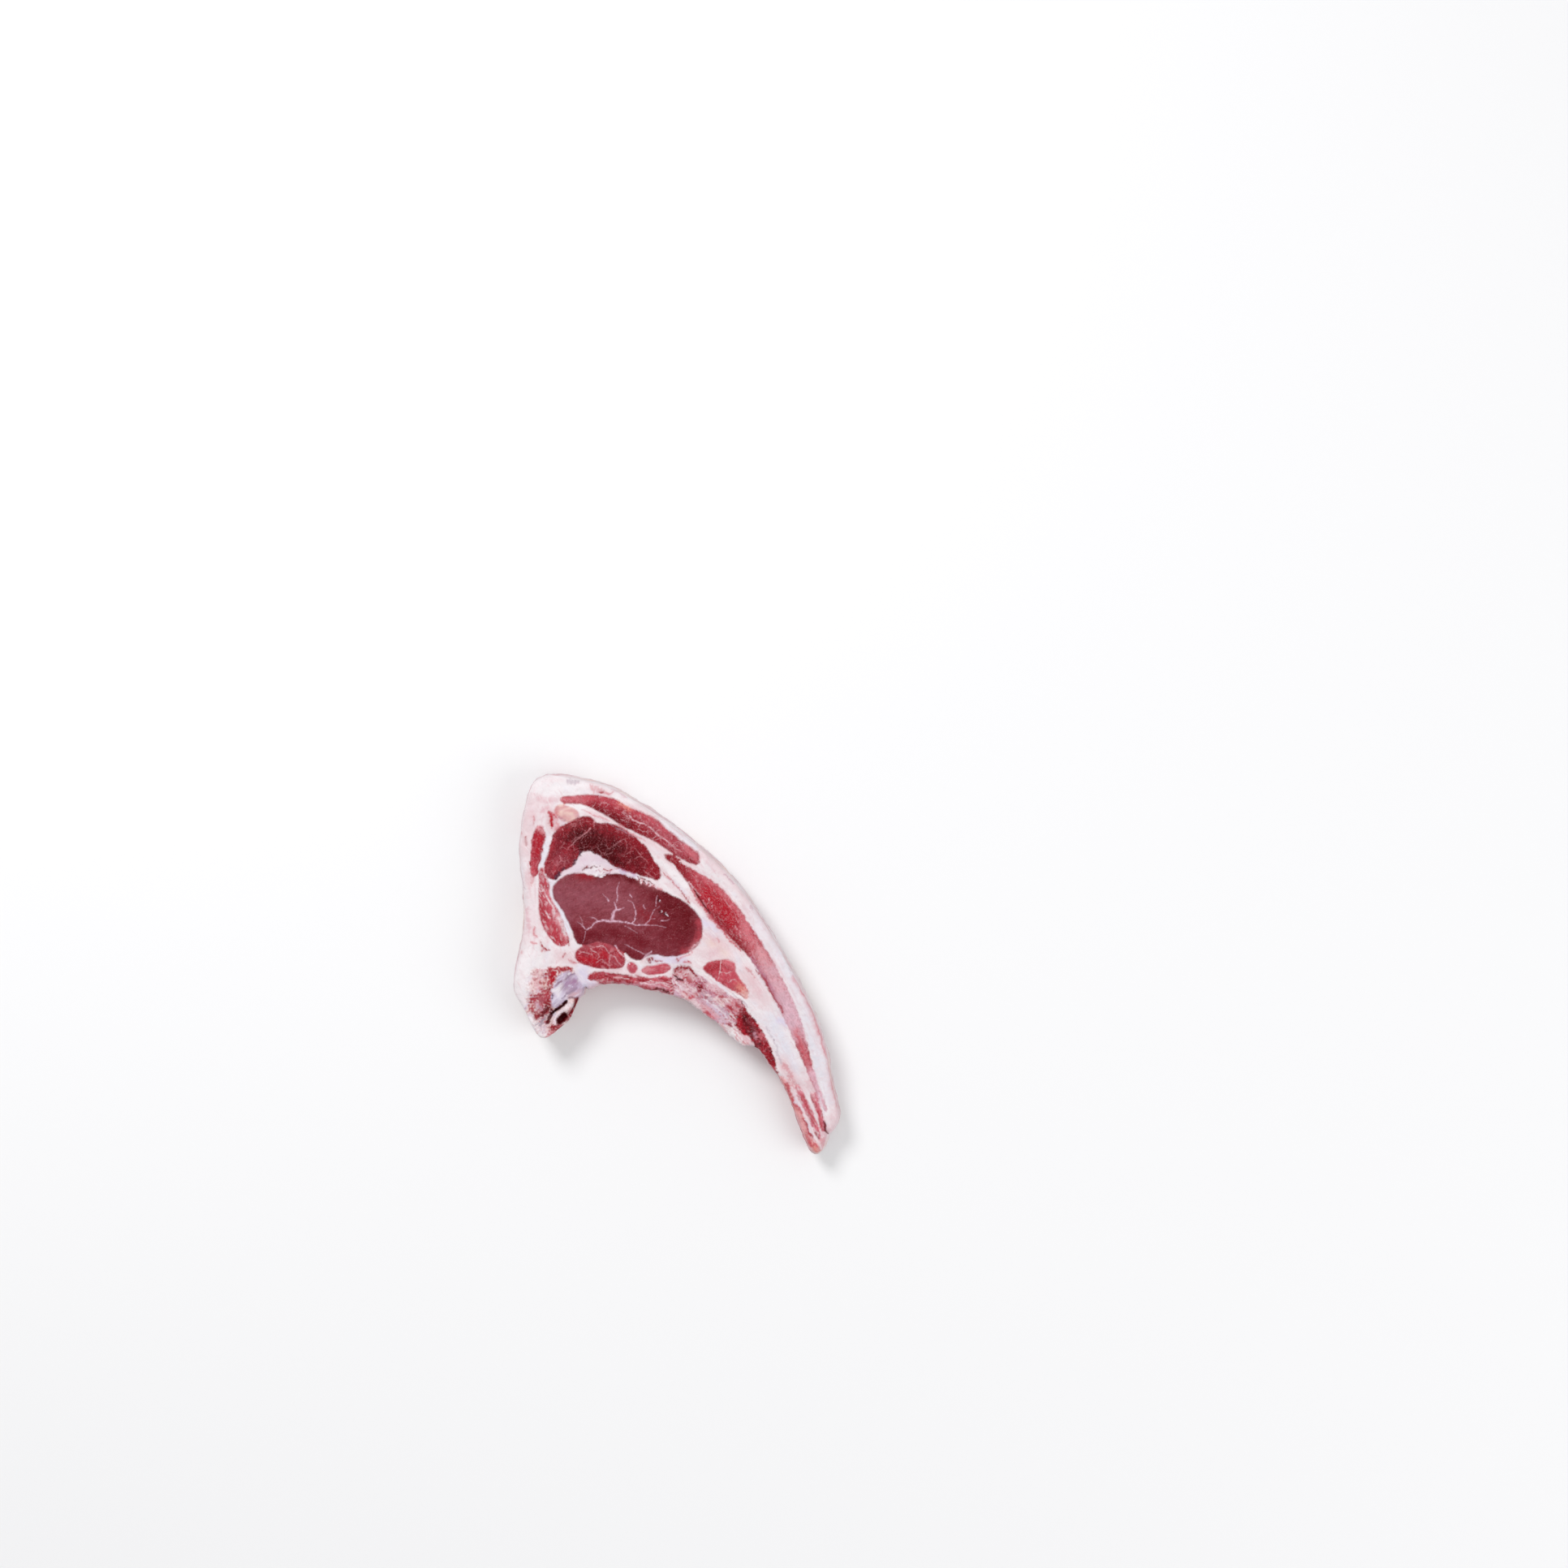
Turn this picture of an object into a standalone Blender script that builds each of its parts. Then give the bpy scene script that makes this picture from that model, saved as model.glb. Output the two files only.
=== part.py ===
"""A raw lamb rib chop: one slice of the rack, lying flat on its cut face.

Seen from above, +X is right and +Y points to the fat knob at the back of the neck, so the
long thin tail of the chop runs down to -Y. The whole slice is shaped first, with its relief.
Each bone and muscle is then carved out of it along its own outline, right through the
slice, and what is left between them is the fat body that holds the chop together.
"""

import math

import bmesh
import bpy
import numpy as np
from mathutils import Vector, noise

MM = 0.001

# Driving sizes, in millimetres. The outlines below are in the same unit.
BODY_THICKNESS = 20.0
TAIL_THICKNESS = 13.5
TAIL_TAPER_Y = (0.0, -70.0)
KNOB_THICKNESS = 17.5
KNOB_TAPER_Y = (55.0, 75.0)
RIM_ROUNDING = 2.6
RIM_STEPS = 3
SEAM_GAP = 0.3
FOOT_FLAT = 0.15
RELIEF_VOXEL = 1.25
SURFACE_TRIANGLES = 2600
CUTTER_OVERSHOOT = 6.0
WELD_DISTANCE = 0.01
SLIVER_SIZE = 0.02
FLAT_ANGLE_DEGREES = 0.5

# Relief of the cut face, in millimetres
FAT_WAVE = 0.45
FAT_WAVE_LENGTH = 17.0
SEAM_GROOVE = 0.5
SEAM_GROOVE_WIDTH = 1.3
BONE_CRAG_LENGTH = 4.2
MUSCLE_RISE_WIDTH = 4.0
NOISE_SLICE = 0.5

CHOP_OUTLINE = [
    (-55.2, 73.0), (-48.5, 74.8), (-38.0, 72.9), (-26.0, 69.9), (-17.0, 64.9), (-4.0, 56.5),
    (8.0, 46.9), (20.0, 36.0), (32.3, 19.8), (44.0, 0.0), (54.2, -19.8), (58.6, -32.5),
    (60.4, -43.0), (63.0, -55.0), (64.0, -60.6), (61.7, -65.7), (59.6, -67.5), (58.4, -71.6),
    (55.0, -75.0), (50.6, -68.2), (45.6, -54.8), (41.8, -46.2), (38.8, -41.8), (35.0, -37.0),
    (31.0, -31.8), (27.4, -32.2), (21.6, -28.2), (16.0, -22.9), (9.4, -17.5), (4.6, -14.0),
    (-1.0, -11.9), (-10.0, -9.6), (-20.0, -7.3), (-27.0, -6.9), (-34.0, -9.4), (-38.2, -12.6),
    (-40.4, -17.6), (-42.4, -21.8), (-46.4, -25.0), (-50.4, -28.2), (-53.2, -29.0),
    (-56.2, -25.4), (-60.0, -17.6), (-63.8, -10.4), (-63.4, -3.0), (-61.0, 8.0), (-59.8, 18.0),
    (-60.4, 31.0), (-61.6, 44.0), (-61.0, 54.0), (-59.3, 62.6), (-57.6, 69.4),
]
EYE_MUSCLE = [
    (-48.9, 29.4), (-45.2, 34.5), (-39.0, 36.4), (-32.4, 35.3), (-24.0, 36.3), (-16.0, 34.1),
    (-6.0, 29.6), (4.0, 24.3), (9.6, 17.8), (9.7, 10.6), (6.0, 6.0), (-3.0, 3.6), (-10.4, 4.5),
    (-15.0, 1.9), (-21.2, 5.8), (-30.0, 9.6), (-38.4, 8.3), (-40.6, 13.0), (-44.4, 21.2),
]
CAP_MUSCLE = [
    (-48.2, 33.6), (-51.9, 38.4), (-50.4, 43.6), (-46.7, 54.2), (-43.5, 55.4), (-34.8, 58.8),
    (-31.8, 56.4), (-25.0, 55.6), (-14.6, 49.3), (-9.2, 42.0), (-6.5, 34.1), (-12.0, 35.1),
    (-24.6, 39.2), (-29.4, 42.8), (-36.8, 45.2), (-40.3, 39.8), (-45.2, 37.0),
]
SHOULDER_MUSCLE = [
    (-46.0, 65.2), (-40.0, 66.8), (-26.0, 66.0), (-18.6, 62.3), (-9.0, 57.7), (1.0, 49.4),
    (9.4, 40.4), (2.4, 42.0), (-8.0, 48.7), (-20.0, 54.4), (-29.0, 60.0), (-38.0, 63.8),
]
FLANK_MUSCLE = [
    (-5.2, 43.9), (4.0, 39.1), (13.0, 34.0), (20.0, 28.2), (28.0, 17.4), (36.0, 5.0),
    (43.0, -7.6), (49.0, -22.0), (52.3, -35.0), (56.0, -47.6), (58.3, -54.4), (59.2, -58.4),
    (57.9, -56.8), (55.2, -50.4), (50.2, -38.6), (44.4, -25.0), (37.3, -10.6), (29.5, 2.5),
    (19.5, 12.7), (11.0, 22.7), (5.0, 32.0), (-1.2, 40.2),
]
NECK_LIGAMENT = [
    (-48.2, 61.6), (-45.6, 63.3), (-41.2, 61.9), (-38.1, 59.4), (-40.8, 56.5), (-44.6, 57.0),
    (-47.2, 59.2),
]
BACK_OVAL_MUSCLE = [
    (-53.5, 55.5), (-51.7, 52.2), (-52.6, 46.4), (-54.2, 39.6), (-56.1, 34.8), (-57.5, 41.4),
    (-57.0, 48.2), (-55.4, 53.8),
]
SPINE_MUSCLE = [
    (-52.9, 39.0), (-51.6, 34.6), (-49.9, 32.6), (-50.2, 28.0), (-46.3, 21.2), (-43.6, 13.6),
    (-42.5, 8.6), (-46.8, 8.0), (-50.0, 11.5), (-53.2, 17.0), (-54.1, 24.0), (-53.9, 32.6),
]
UNDER_MUSCLE = [
    (-40.0, 3.4), (-37.6, 7.4), (-31.0, 10.6), (-24.0, 8.6), (-20.6, 4.2), (-20.6, -0.2),
    (-24.0, -1.0), (-31.0, -1.0), (-36.4, 0.6),
]
SMALL_ROUND_MUSCLE = [(-19.3, 0.5), (-16.9, 1.1), (-15.3, -0.9), (-16.7, -3.2), (-18.7, -2.3)]
UNDER_STRIP_MUSCLE = [
    (-14.2, -2.0), (-9.0, -0.2), (-2.8, 0.4), (-2.2, -1.4), (-7.5, -3.4), (-12.4, -3.2),
]
RIB_MUSCLE = [
    (10.2, -1.2), (13.6, 1.5), (19.0, 2.1), (23.0, 1.0), (23.2, -2.8), (26.0, -6.4),
    (28.4, -13.2), (24.0, -10.7), (17.0, -6.7), (13.4, -3.6),
]
# These seven pieces reach the chop's edge, so their outlines pass outside it there.
INNER_STRIP = [
    (-34.9, -5.2), (-33.0, -2.6), (-24.0, -3.6), (-10.0, -4.9), (-1.0, -4.6), (2.0, -8.0),
    (0.0, -16.0), (-12.0, -13.0), (-24.0, -11.0), (-28.4, -8.0), (-31.4, -5.9),
]
RIB_MARROW = [
    (23.8, -13.0), (27.4, -17.2), (33.2, -25.0), (37.3, -33.3), (39.4, -41.5), (37.0, -45.0),
    (31.0, -36.0), (30.2, -30.2), (26.8, -27.2), (23.4, -24.0), (24.2, -19.0),
]
RIB_BONE = [
    (-1.4, -2.6), (2.6, -0.3), (7.0, -2.4), (13.0, -6.8), (20.4, -11.0), (27.4, -17.2),
    (27.0, -23.0), (24.4, -25.0), (19.4, -24.4), (16.0, -27.0), (0.0, -17.0), (-0.9, -8.0),
]
EDGE_MEMBRANE = [
    (17.2, -23.4), (20.6, -24.2), (24.6, -25.2), (27.0, -27.4), (31.8, -31.6), (30.0, -36.0),
    (22.0, -34.0), (15.0, -27.0),
]
CARTILAGE = [
    (-46.0, -3.4), (-43.0, -2.5), (-40.4, -2.8), (-38.5, -5.4), (-37.0, -9.0), (-36.8, -12.0),
    (-42.0, -12.7), (-45.2, -15.0), (-48.2, -17.2), (-49.2, -14.0), (-48.6, -9.0),
]
VERTEBRA = [
    (-58.6, -2.4), (-52.0, -1.0), (-45.0, -0.5), (-41.0, -1.2), (-38.6, -5.0), (-33.4, -13.0),
    (-38.0, -25.0), (-52.0, -34.0), (-58.6, -26.0), (-59.4, -17.0), (-59.6, -9.0),
]
TAIL_STRIP_INNER = [
    (41.8, -43.6), (45.5, -51.0), (49.0, -57.5), (51.4, -63.0), (53.8, -68.5), (56.8, -74.0),
    (53.0, -79.0), (47.0, -68.0), (42.0, -55.0), (38.6, -46.0),
]
# The other two streaks of meat lie wholly inside the tail.
TAIL_STRIP_MIDDLE = [
    (47.4, -46.8), (49.4, -50.0), (52.2, -55.5), (54.8, -61.0), (56.8, -66.8), (56.5, -69.6),
    (54.4, -65.5), (51.5, -59.6), (49.0, -54.6), (47.3, -50.2),
]
TAIL_STRIP_OUTER = [
    (53.3, -49.6), (56.0, -54.6), (57.8, -60.6), (58.7, -66.0), (57.8, -66.2), (56.4, -61.6),
    (54.4, -55.6), (52.8, -51.8),
]

# Splits in the cut face, two in the sawn vertebra and one above the eye: each has a route,
# a half width and a depth.
VERTEBRA_SLIT = [(-43.5, -14.4), (-47.0, -17.4), (-50.2, -19.4), (-51.2, -22.6)]
VERTEBRA_HOLLOW = [(-46.0, -20.6), (-44.2, -21.6)]
EYE_CREASE = [(-38.0, 37.4), (-31.0, 39.2), (-22.0, 38.0), (-10.0, 32.6)]
CUTS = [(VERTEBRA_SLIT, 1.3, 3.2), (VERTEBRA_HOLLOW, 2.2, 4.0), (EYE_CREASE, 0.9, 0.8)]

# Muscles and bones in the order they are carved: outline, rise above the fat, crag height,
# points a curve segment takes, and the colour and roughness of the cut face.
LEAN_EYE = (0.22, 0.038, 0.05)
LEAN_DARK = (0.11, 0.006, 0.014)
LEAN_BRIGHT = (0.38, 0.05, 0.07)
LEAN_PALE = (0.50, 0.16, 0.18)
PIECES = [
    ("eye_muscle", EYE_MUSCLE, 0.7, 0.0, 3, LEAN_EYE, 0.38),
    ("cap_muscle", CAP_MUSCLE, 0.5, 0.0, 3, LEAN_DARK, 0.40),
    ("shoulder_muscle", SHOULDER_MUSCLE, 0.4, 0.0, 3, LEAN_BRIGHT, 0.40),
    ("flank_muscle", FLANK_MUSCLE, 0.4, 0.0, 2, LEAN_BRIGHT, 0.40),
    ("neck_ligament", NECK_LIGAMENT, 0.3, 0.0, 3, (0.72, 0.50, 0.46), 0.35),
    ("back_oval_muscle", BACK_OVAL_MUSCLE, 0.3, 0.0, 3, LEAN_BRIGHT, 0.42),
    ("spine_muscle", SPINE_MUSCLE, 0.3, 0.0, 2, LEAN_BRIGHT, 0.42),
    ("under_muscle", UNDER_MUSCLE, 0.4, 0.0, 2, LEAN_BRIGHT, 0.42),
    ("small_round_muscle", SMALL_ROUND_MUSCLE, 0.3, 0.0, 3, LEAN_BRIGHT, 0.42),
    ("under_strip_muscle", UNDER_STRIP_MUSCLE, 0.3, 0.0, 2, LEAN_BRIGHT, 0.42),
    ("rib_muscle", RIB_MUSCLE, 0.4, 0.0, 2, LEAN_BRIGHT, 0.42),
    ("rib_marrow", RIB_MARROW, 0.2, 0.9, 2, (0.20, 0.010, 0.020), 0.45),
    ("edge_membrane", EDGE_MEMBRANE, -0.9, 0.8, 2, (0.70, 0.48, 0.52), 0.35),
    ("rib_bone", RIB_BONE, 0.5, 0.6, 2, (0.62, 0.33, 0.31), 0.55),
    ("inner_strip", INNER_STRIP, 0.1, 0.5, 2, (0.50, 0.20, 0.22), 0.45),
    ("cartilage", CARTILAGE, -0.5, 0.2, 2, (0.52, 0.46, 0.55), 0.30),
    ("vertebra", VERTEBRA, 0.3, 1.3, 2, (0.60, 0.30, 0.29), 0.60),
    ("tail_strip_inner", TAIL_STRIP_INNER, 0.2, 0.0, 2, LEAN_PALE, 0.42),
    ("tail_strip_middle", TAIL_STRIP_MIDDLE, 0.2, 0.0, 2, LEAN_PALE, 0.42),
    ("tail_strip_outer", TAIL_STRIP_OUTER, 0.2, 0.0, 2, LEAN_PALE, 0.42),
]
FAT_COLOUR = (0.80, 0.70, 0.72)
FAT_ROUGHNESS = 0.42
OUTLINE_RESOLUTION = 3


def clear_scene():
    for old in list(bpy.data.objects):
        bpy.data.objects.remove(old)


def new_collection(name):
    collection = bpy.data.collections.new(name)
    bpy.context.scene.collection.children.link(collection)
    return collection


def make_material(name, colour, roughness):
    material = bpy.data.materials.new(name)
    material.use_nodes = True
    shader = material.node_tree.nodes["Principled BSDF"]
    shader.inputs["Base Color"].default_value = (*colour, 1.0)
    shader.inputs["Roughness"].default_value = roughness
    shader.inputs["Metallic"].default_value = 0.0
    return material


def outline_curve(name, outline, resolution):
    """A closed flat curve through the outline's points, smooth at every one."""
    curve = bpy.data.curves.new(name, "CURVE")
    curve.dimensions = "2D"
    curve.fill_mode = "BOTH"
    curve.resolution_u = resolution
    spline = curve.splines.new("BEZIER")
    spline.bezier_points.add(len(outline) - 1)
    for point, (x, y) in zip(spline.bezier_points, outline):
        point.co = (x * MM, y * MM, 0.0)
        point.handle_left_type = "AUTO"
        point.handle_right_type = "AUTO"
    spline.use_cyclic_u = True
    return curve


def curve_to_object(name, curve, bottom, top, collection):
    """The curve's solid as a mesh between two heights, with its caps welded on."""
    holder = bpy.data.objects.new(name, curve)
    holder.location.z = (bottom + top) / 2 * MM
    collection.objects.link(holder)
    bpy.context.view_layer.update()
    depsgraph = bpy.context.evaluated_depsgraph_get()
    mesh = bpy.data.meshes.new_from_object(holder.evaluated_get(depsgraph))
    mesh.transform(holder.matrix_world)
    bpy.data.objects.remove(holder)
    bpy.data.curves.remove(curve)
    edit = bmesh.new()
    edit.from_mesh(mesh)
    bmesh.ops.remove_doubles(edit, verts=edit.verts, dist=WELD_DISTANCE * MM)
    bmesh.ops.recalc_face_normals(edit, faces=edit.faces)
    edit.to_mesh(mesh)
    edit.free()
    mesh.name = name
    solid = bpy.data.objects.new(name, mesh)
    collection.objects.link(solid)
    return solid


def apply_modifiers(obj):
    bpy.context.view_layer.update()
    depsgraph = bpy.context.evaluated_depsgraph_get()
    mesh = bpy.data.meshes.new_from_object(obj.evaluated_get(depsgraph))
    old = obj.data
    obj.modifiers.clear()
    obj.data = mesh
    bpy.data.meshes.remove(old)


def slab(collection):
    """The whole slice before carving: flat faces and a rounded rim, evenly meshed."""
    curve = outline_curve("whole_slice", CHOP_OUTLINE, OUTLINE_RESOLUTION)
    curve.extrude = (BODY_THICKNESS / 2 - RIM_ROUNDING) * MM
    curve.bevel_depth = RIM_ROUNDING * MM
    curve.bevel_resolution = RIM_STEPS
    curve.offset = -RIM_ROUNDING * MM
    whole = curve_to_object("whole_slice", curve, 0.0, BODY_THICKNESS, collection)
    remesh = whole.modifiers.new("even_mesh", "REMESH")
    remesh.mode = "VOXEL"
    remesh.voxel_size = RELIEF_VOXEL * MM
    apply_modifiers(whole)
    return whole


def segment_distance(points, start, end):
    start = np.array(start)
    along = np.array(end) - start
    share = np.clip((points - start) @ along / (along @ along), 0.0, 1.0)
    return np.linalg.norm(points - start - share[:, None] * along, axis=1)


def route_distance(points, route):
    pairs = zip(route[:-1], route[1:])
    return np.min([segment_distance(points, start, end) for start, end in pairs], axis=0)


def inside_outline(points, outline):
    """True where a point is inside the outline, by counting the edges to its right."""
    inside = np.zeros(len(points), dtype=bool)
    for (x0, y0), (x1, y1) in zip(outline, outline[1:] + outline[:1]):
        if y0 == y1:
            continue
        spans = (points[:, 1] < y0) != (points[:, 1] < y1)
        crossing = x0 + (points[:, 1] - y0) * (x1 - x0) / (y1 - y0)
        inside ^= spans & (points[:, 0] < crossing)
    return inside


def ease(value, start, end):
    share = np.clip((value - start) / (end - start), 0.0, 1.0)
    return share * share * (3.0 - 2.0 * share)


def thickness(points):
    """The slice thins out along the tail and a little towards the fat knob."""
    tail = ease(points[:, 1], *TAIL_TAPER_Y) * (BODY_THICKNESS - TAIL_THICKNESS)
    knob = ease(points[:, 1], *KNOB_TAPER_Y) * (BODY_THICKNESS - KNOB_THICKNESS)
    return BODY_THICKNESS - tail - knob


def noise_at(points, length):
    places = [Vector((x / length, y / length, NOISE_SLICE)) for x, y in points]
    return np.array([noise.noise(place) for place in places])


def face_relief(points):
    """Height of the cut face above the even slab: muscles swell, seams and splits sink."""
    relief = FAT_WAVE * noise_at(points, FAT_WAVE_LENGTH)
    crags = noise_at(points, BONE_CRAG_LENGTH)
    for _, outline, rise, crag_height, _, _, _ in PIECES:
        closed = outline + outline[:1]
        distance = route_distance(points, closed)
        inside = inside_outline(points, outline)
        swell = 1.0 - np.exp(-distance / MUSCLE_RISE_WIDTH)
        relief += np.where(inside, rise * swell + crag_height * crags, 0.0)
        relief -= SEAM_GROOVE * np.exp(-((distance / SEAM_GROOVE_WIDTH) ** 2))
    for route, half_width, depth in CUTS:
        relief -= depth * np.exp(-((route_distance(points, route) / half_width) ** 2))
    return relief


def shape_face(whole):
    """Give the slab its thickness and relief, growing from nothing on the flat underside."""
    mesh = whole.data
    coords = np.empty(len(mesh.vertices) * 3)
    mesh.vertices.foreach_get("co", coords)
    coords = coords.reshape(-1, 3) / MM
    points = coords[:, :2]
    height = np.clip(coords[:, 2] / BODY_THICKNESS, 0.0, 1.0)
    shaped = height * thickness(points) + height ** 3 * face_relief(points)
    coords[:, 2] = np.where(coords[:, 2] < FOOT_FLAT, 0.0, shaped)
    mesh.vertices.foreach_set("co", (coords * MM).ravel())
    mesh.update()


def thin_out(whole):
    """Keep only the triangles that the relief needs."""
    triangles = 2 * len(whole.data.polygons)
    decimate = whole.modifiers.new("fewer_triangles", "DECIMATE")
    decimate.ratio = SURFACE_TRIANGLES / triangles
    apply_modifiers(whole)


def prism(name, outline, resolution, grow, collection):
    curve = outline_curve(name, outline, resolution)
    bottom = -CUTTER_OVERSHOOT
    top = BODY_THICKNESS + CUTTER_OVERSHOOT
    curve.extrude = (top - bottom) / 2 * MM
    curve.offset = grow * MM
    cutter = curve_to_object(name, curve, bottom, top, collection)
    cutter.hide_render = True
    cutter.display_type = "WIRE"
    return cutter


def cut_with(obj, cutter, operation):
    boolean = obj.modifiers.new(operation.lower(), "BOOLEAN")
    boolean.operation = operation
    boolean.object = cutter
    apply_modifiers(obj)


def islands(edit):
    """The separate closed shells of a mesh, as lists of faces."""
    left = set(edit.faces)
    found = []
    while left:
        shell = []
        stack = [left.pop()]
        while stack:
            face = stack.pop()
            shell.append(face)
            for edge in face.edges:
                for other in edge.link_faces:
                    if other in left:
                        left.remove(other)
                        stack.append(other)
        found.append(shell)
    return found


def tidy_mesh(obj):
    """Drop loose scraps, join flat neighbours and remove slivers."""
    edit = bmesh.new()
    edit.from_mesh(obj.data)
    bmesh.ops.remove_doubles(edit, verts=edit.verts, dist=SLIVER_SIZE * MM)
    bmesh.ops.dissolve_degenerate(edit, edges=edit.edges, dist=SLIVER_SIZE * MM)
    shells = sorted(islands(edit), key=len)
    scraps = [face for shell in shells[:-1] for face in shell]
    bmesh.ops.delete(edit, geom=scraps, context="FACES")
    flat = math.radians(FLAT_ANGLE_DEGREES)
    bmesh.ops.dissolve_limit(edit, angle_limit=flat, verts=edit.verts, edges=edit.edges)
    bmesh.ops.triangulate(edit, faces=edit.faces)
    edit.to_mesh(obj.data)
    edit.free()


def carve(rest, piece, parts, cutters):
    """Cut one piece out of what is left, with a seam's gap round it."""
    name, outline, _, _, resolution, colour, roughness = piece
    solid = bpy.data.objects.new(name, rest.data.copy())
    parts.objects.link(solid)
    cut_with(solid, prism(name + "_cutter", outline, resolution, 0.0, cutters), "INTERSECT")
    cut_with(rest, prism(name + "_seam", outline, resolution, SEAM_GAP, cutters), "DIFFERENCE")
    tidy_mesh(solid)
    solid.data.materials.clear()
    solid.data.materials.append(make_material(name, colour, roughness))


def build_lamb_chop():
    clear_scene()
    parts = new_collection("lamb_chop")
    cutters = new_collection("cutters")
    fat = slab(parts)
    shape_face(fat)
    thin_out(fat)
    for piece in PIECES:
        carve(fat, piece, parts, cutters)
    tidy_mesh(fat)
    fat.name = "fat_body"
    fat.data.materials.clear()
    fat.data.materials.append(make_material("fat_body", FAT_COLOUR, FAT_ROUGHNESS))


build_lamb_chop()
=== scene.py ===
import math
import random

import bmesh
import bpy
import numpy as np
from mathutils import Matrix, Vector, kdtree, noise
from mathutils.bvhtree import BVHTree
from mathutils.geometry import delaunay_2d_cdt


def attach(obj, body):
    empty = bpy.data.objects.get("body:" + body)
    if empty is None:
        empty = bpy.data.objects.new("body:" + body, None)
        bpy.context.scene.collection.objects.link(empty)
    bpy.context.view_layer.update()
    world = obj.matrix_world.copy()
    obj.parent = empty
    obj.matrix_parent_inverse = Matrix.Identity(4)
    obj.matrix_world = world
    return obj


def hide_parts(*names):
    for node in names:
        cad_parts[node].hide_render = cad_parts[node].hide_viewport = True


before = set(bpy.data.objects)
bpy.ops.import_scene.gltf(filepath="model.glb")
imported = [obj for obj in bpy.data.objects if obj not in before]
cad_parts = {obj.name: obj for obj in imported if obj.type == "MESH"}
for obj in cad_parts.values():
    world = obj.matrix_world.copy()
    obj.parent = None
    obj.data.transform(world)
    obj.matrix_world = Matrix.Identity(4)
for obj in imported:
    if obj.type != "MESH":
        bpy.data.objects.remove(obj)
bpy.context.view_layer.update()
mm = 0.001
print("frame loaded:", len(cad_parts), "solids")

# The cut face of the chop is one sheet of small triangles, split along the seams that the
# solids give. Each bone, muscle and the fat is then closed down to the underside.
faceMesh = {
    "readHeight": 8.0,        # mm, where the solids are sliced to read their outlines
    "spacing": 0.42,          # mm between the points of the sheet
    "rowSpacing": 0.866,      # share of the spacing between two rows
    "stray": 0.16,            # share of the spacing that a point strays
    "clearance": 0.45,        # share of the spacing that stays free beside a line
    "outlineVoxel": 0.6,      # mm, for the outline of the whole chop
    "seamHalfGap": 0.15,      # mm, half the gap between two solids
    "outlineSmoothing": 7,    # passes along each outline
    "seamWobble": 0.16,       # mm, uneven run of a seam
    "wobbleLength": 2.3,      # mm
    "pastRim": (0.55, 1.6),   # mm from the rim at which a piece runs on past it, and how far
    "pastSeam": (0.32, 1.2),  # the same at the seam of an earlier piece
    "fineStep": 0.1,          # mm between the points that distances to a line are taken to
    "lineStep": 0.12,         # mm, the same for the lines that loose points keep clear of
    "chainStep": 0.3,         # mm between the points of a closed seam while it is smoothed
    "chainPasses": 2,         # smoothing of each stretch of a seam
    "foundStep": (0.1, 0.05), # mm between the points by which the sheet's points and edges find a seam
    "onLine": 0.06,           # mm, how near a line a point lies on it
    "alongLine": 0.045,       # mm, how near a line the middle of an edge lies on it
    "smallestArea": 1e-6,     # square mm
    "seed": 7,
}
weldDistance = 0.00001        # m

# Order in which the outlines win where they meet. The fat is what is left.
pieceOrder = [
    "eye_muscle", "cap_muscle", "shoulder_muscle", "flank_muscle", "neck_ligament",
    "back_oval_muscle", "spine_muscle", "under_muscle", "small_round_muscle",
    "under_strip_muscle", "rib_muscle", "rib_marrow", "edge_membrane", "rib_bone",
    "inner_strip", "cartilage", "vertebra", "tail_strip_inner", "tail_strip_middle",
    "tail_strip_outer",
]
fatNode = "fat_body"
fatIndex = len(pieceOrder)
nodeNames = pieceOrder + [fatNode]


def mergedCopy(nodes):
    work = bmesh.new()
    for name in nodes:
        work.from_mesh(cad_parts[name].data)
    bmesh.ops.remove_doubles(work, verts=work.verts, dist=weldDistance)
    work.normal_update()
    return work


def chainedLoops(edges):
    links = {}
    for edge in edges:
        a, b = edge.verts
        links.setdefault(a, []).append(b)
        links.setdefault(b, []).append(a)
    loops = []
    unused = set(links)
    while unused:
        here = min(unused, key=lambda v: (round(v.co.x, 6), round(v.co.y, 6)))
        loop = []
        while here is not None:
            loop.append((here.co.x / mm, here.co.y / mm))
            unused.discard(here)
            here = next((v for v in links[here] if v in unused), None)
        loops.append(np.array(loop))
    return loops


def routeLength(route):
    return np.linalg.norm(np.diff(route, axis=0), axis=1).sum()


def closedUp(loop):
    return np.vstack([loop, loop[:1]])


def sectionLoop(work):       # longest outline of the solids at the reading height
    height = faceMesh["readHeight"] * mm
    everything = list(work.verts) + list(work.edges) + list(work.faces)
    cut = bmesh.ops.bisect_plane(work, geom=everything, plane_co=(0, 0, height), plane_no=(0, 0, 1))
    loops = chainedLoops([g for g in cut["geom_cut"] if isinstance(g, bmesh.types.BMEdge)])
    work.free()
    return max(loops, key=lambda loop: routeLength(closedUp(loop)))


def signedArea(loop):
    nextPoint = np.roll(loop, -1, axis=0)
    return 0.5 * np.sum(loop[:, 0] * nextPoint[:, 1] - nextPoint[:, 0] * loop[:, 1])


def inSteps(route, count):   # the same line with count even steps
    steps = np.linalg.norm(np.diff(route, axis=0), axis=1)
    along = np.concatenate([[0.0], np.cumsum(steps)])
    wanted = np.linspace(0.0, along[-1], count + 1)
    return np.column_stack([np.interp(wanted, along, route[:, k]) for k in (0, 1)])


def resample(route, spacing, closed=True):
    points = np.reshape(route, (-1, 2))      # a drawn line is given as x, y, x, y
    points = closedUp(points) if closed else points
    even = inSteps(points, max(3, int(round(routeLength(points) / spacing))))
    return even[:-1] if closed else even


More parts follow.
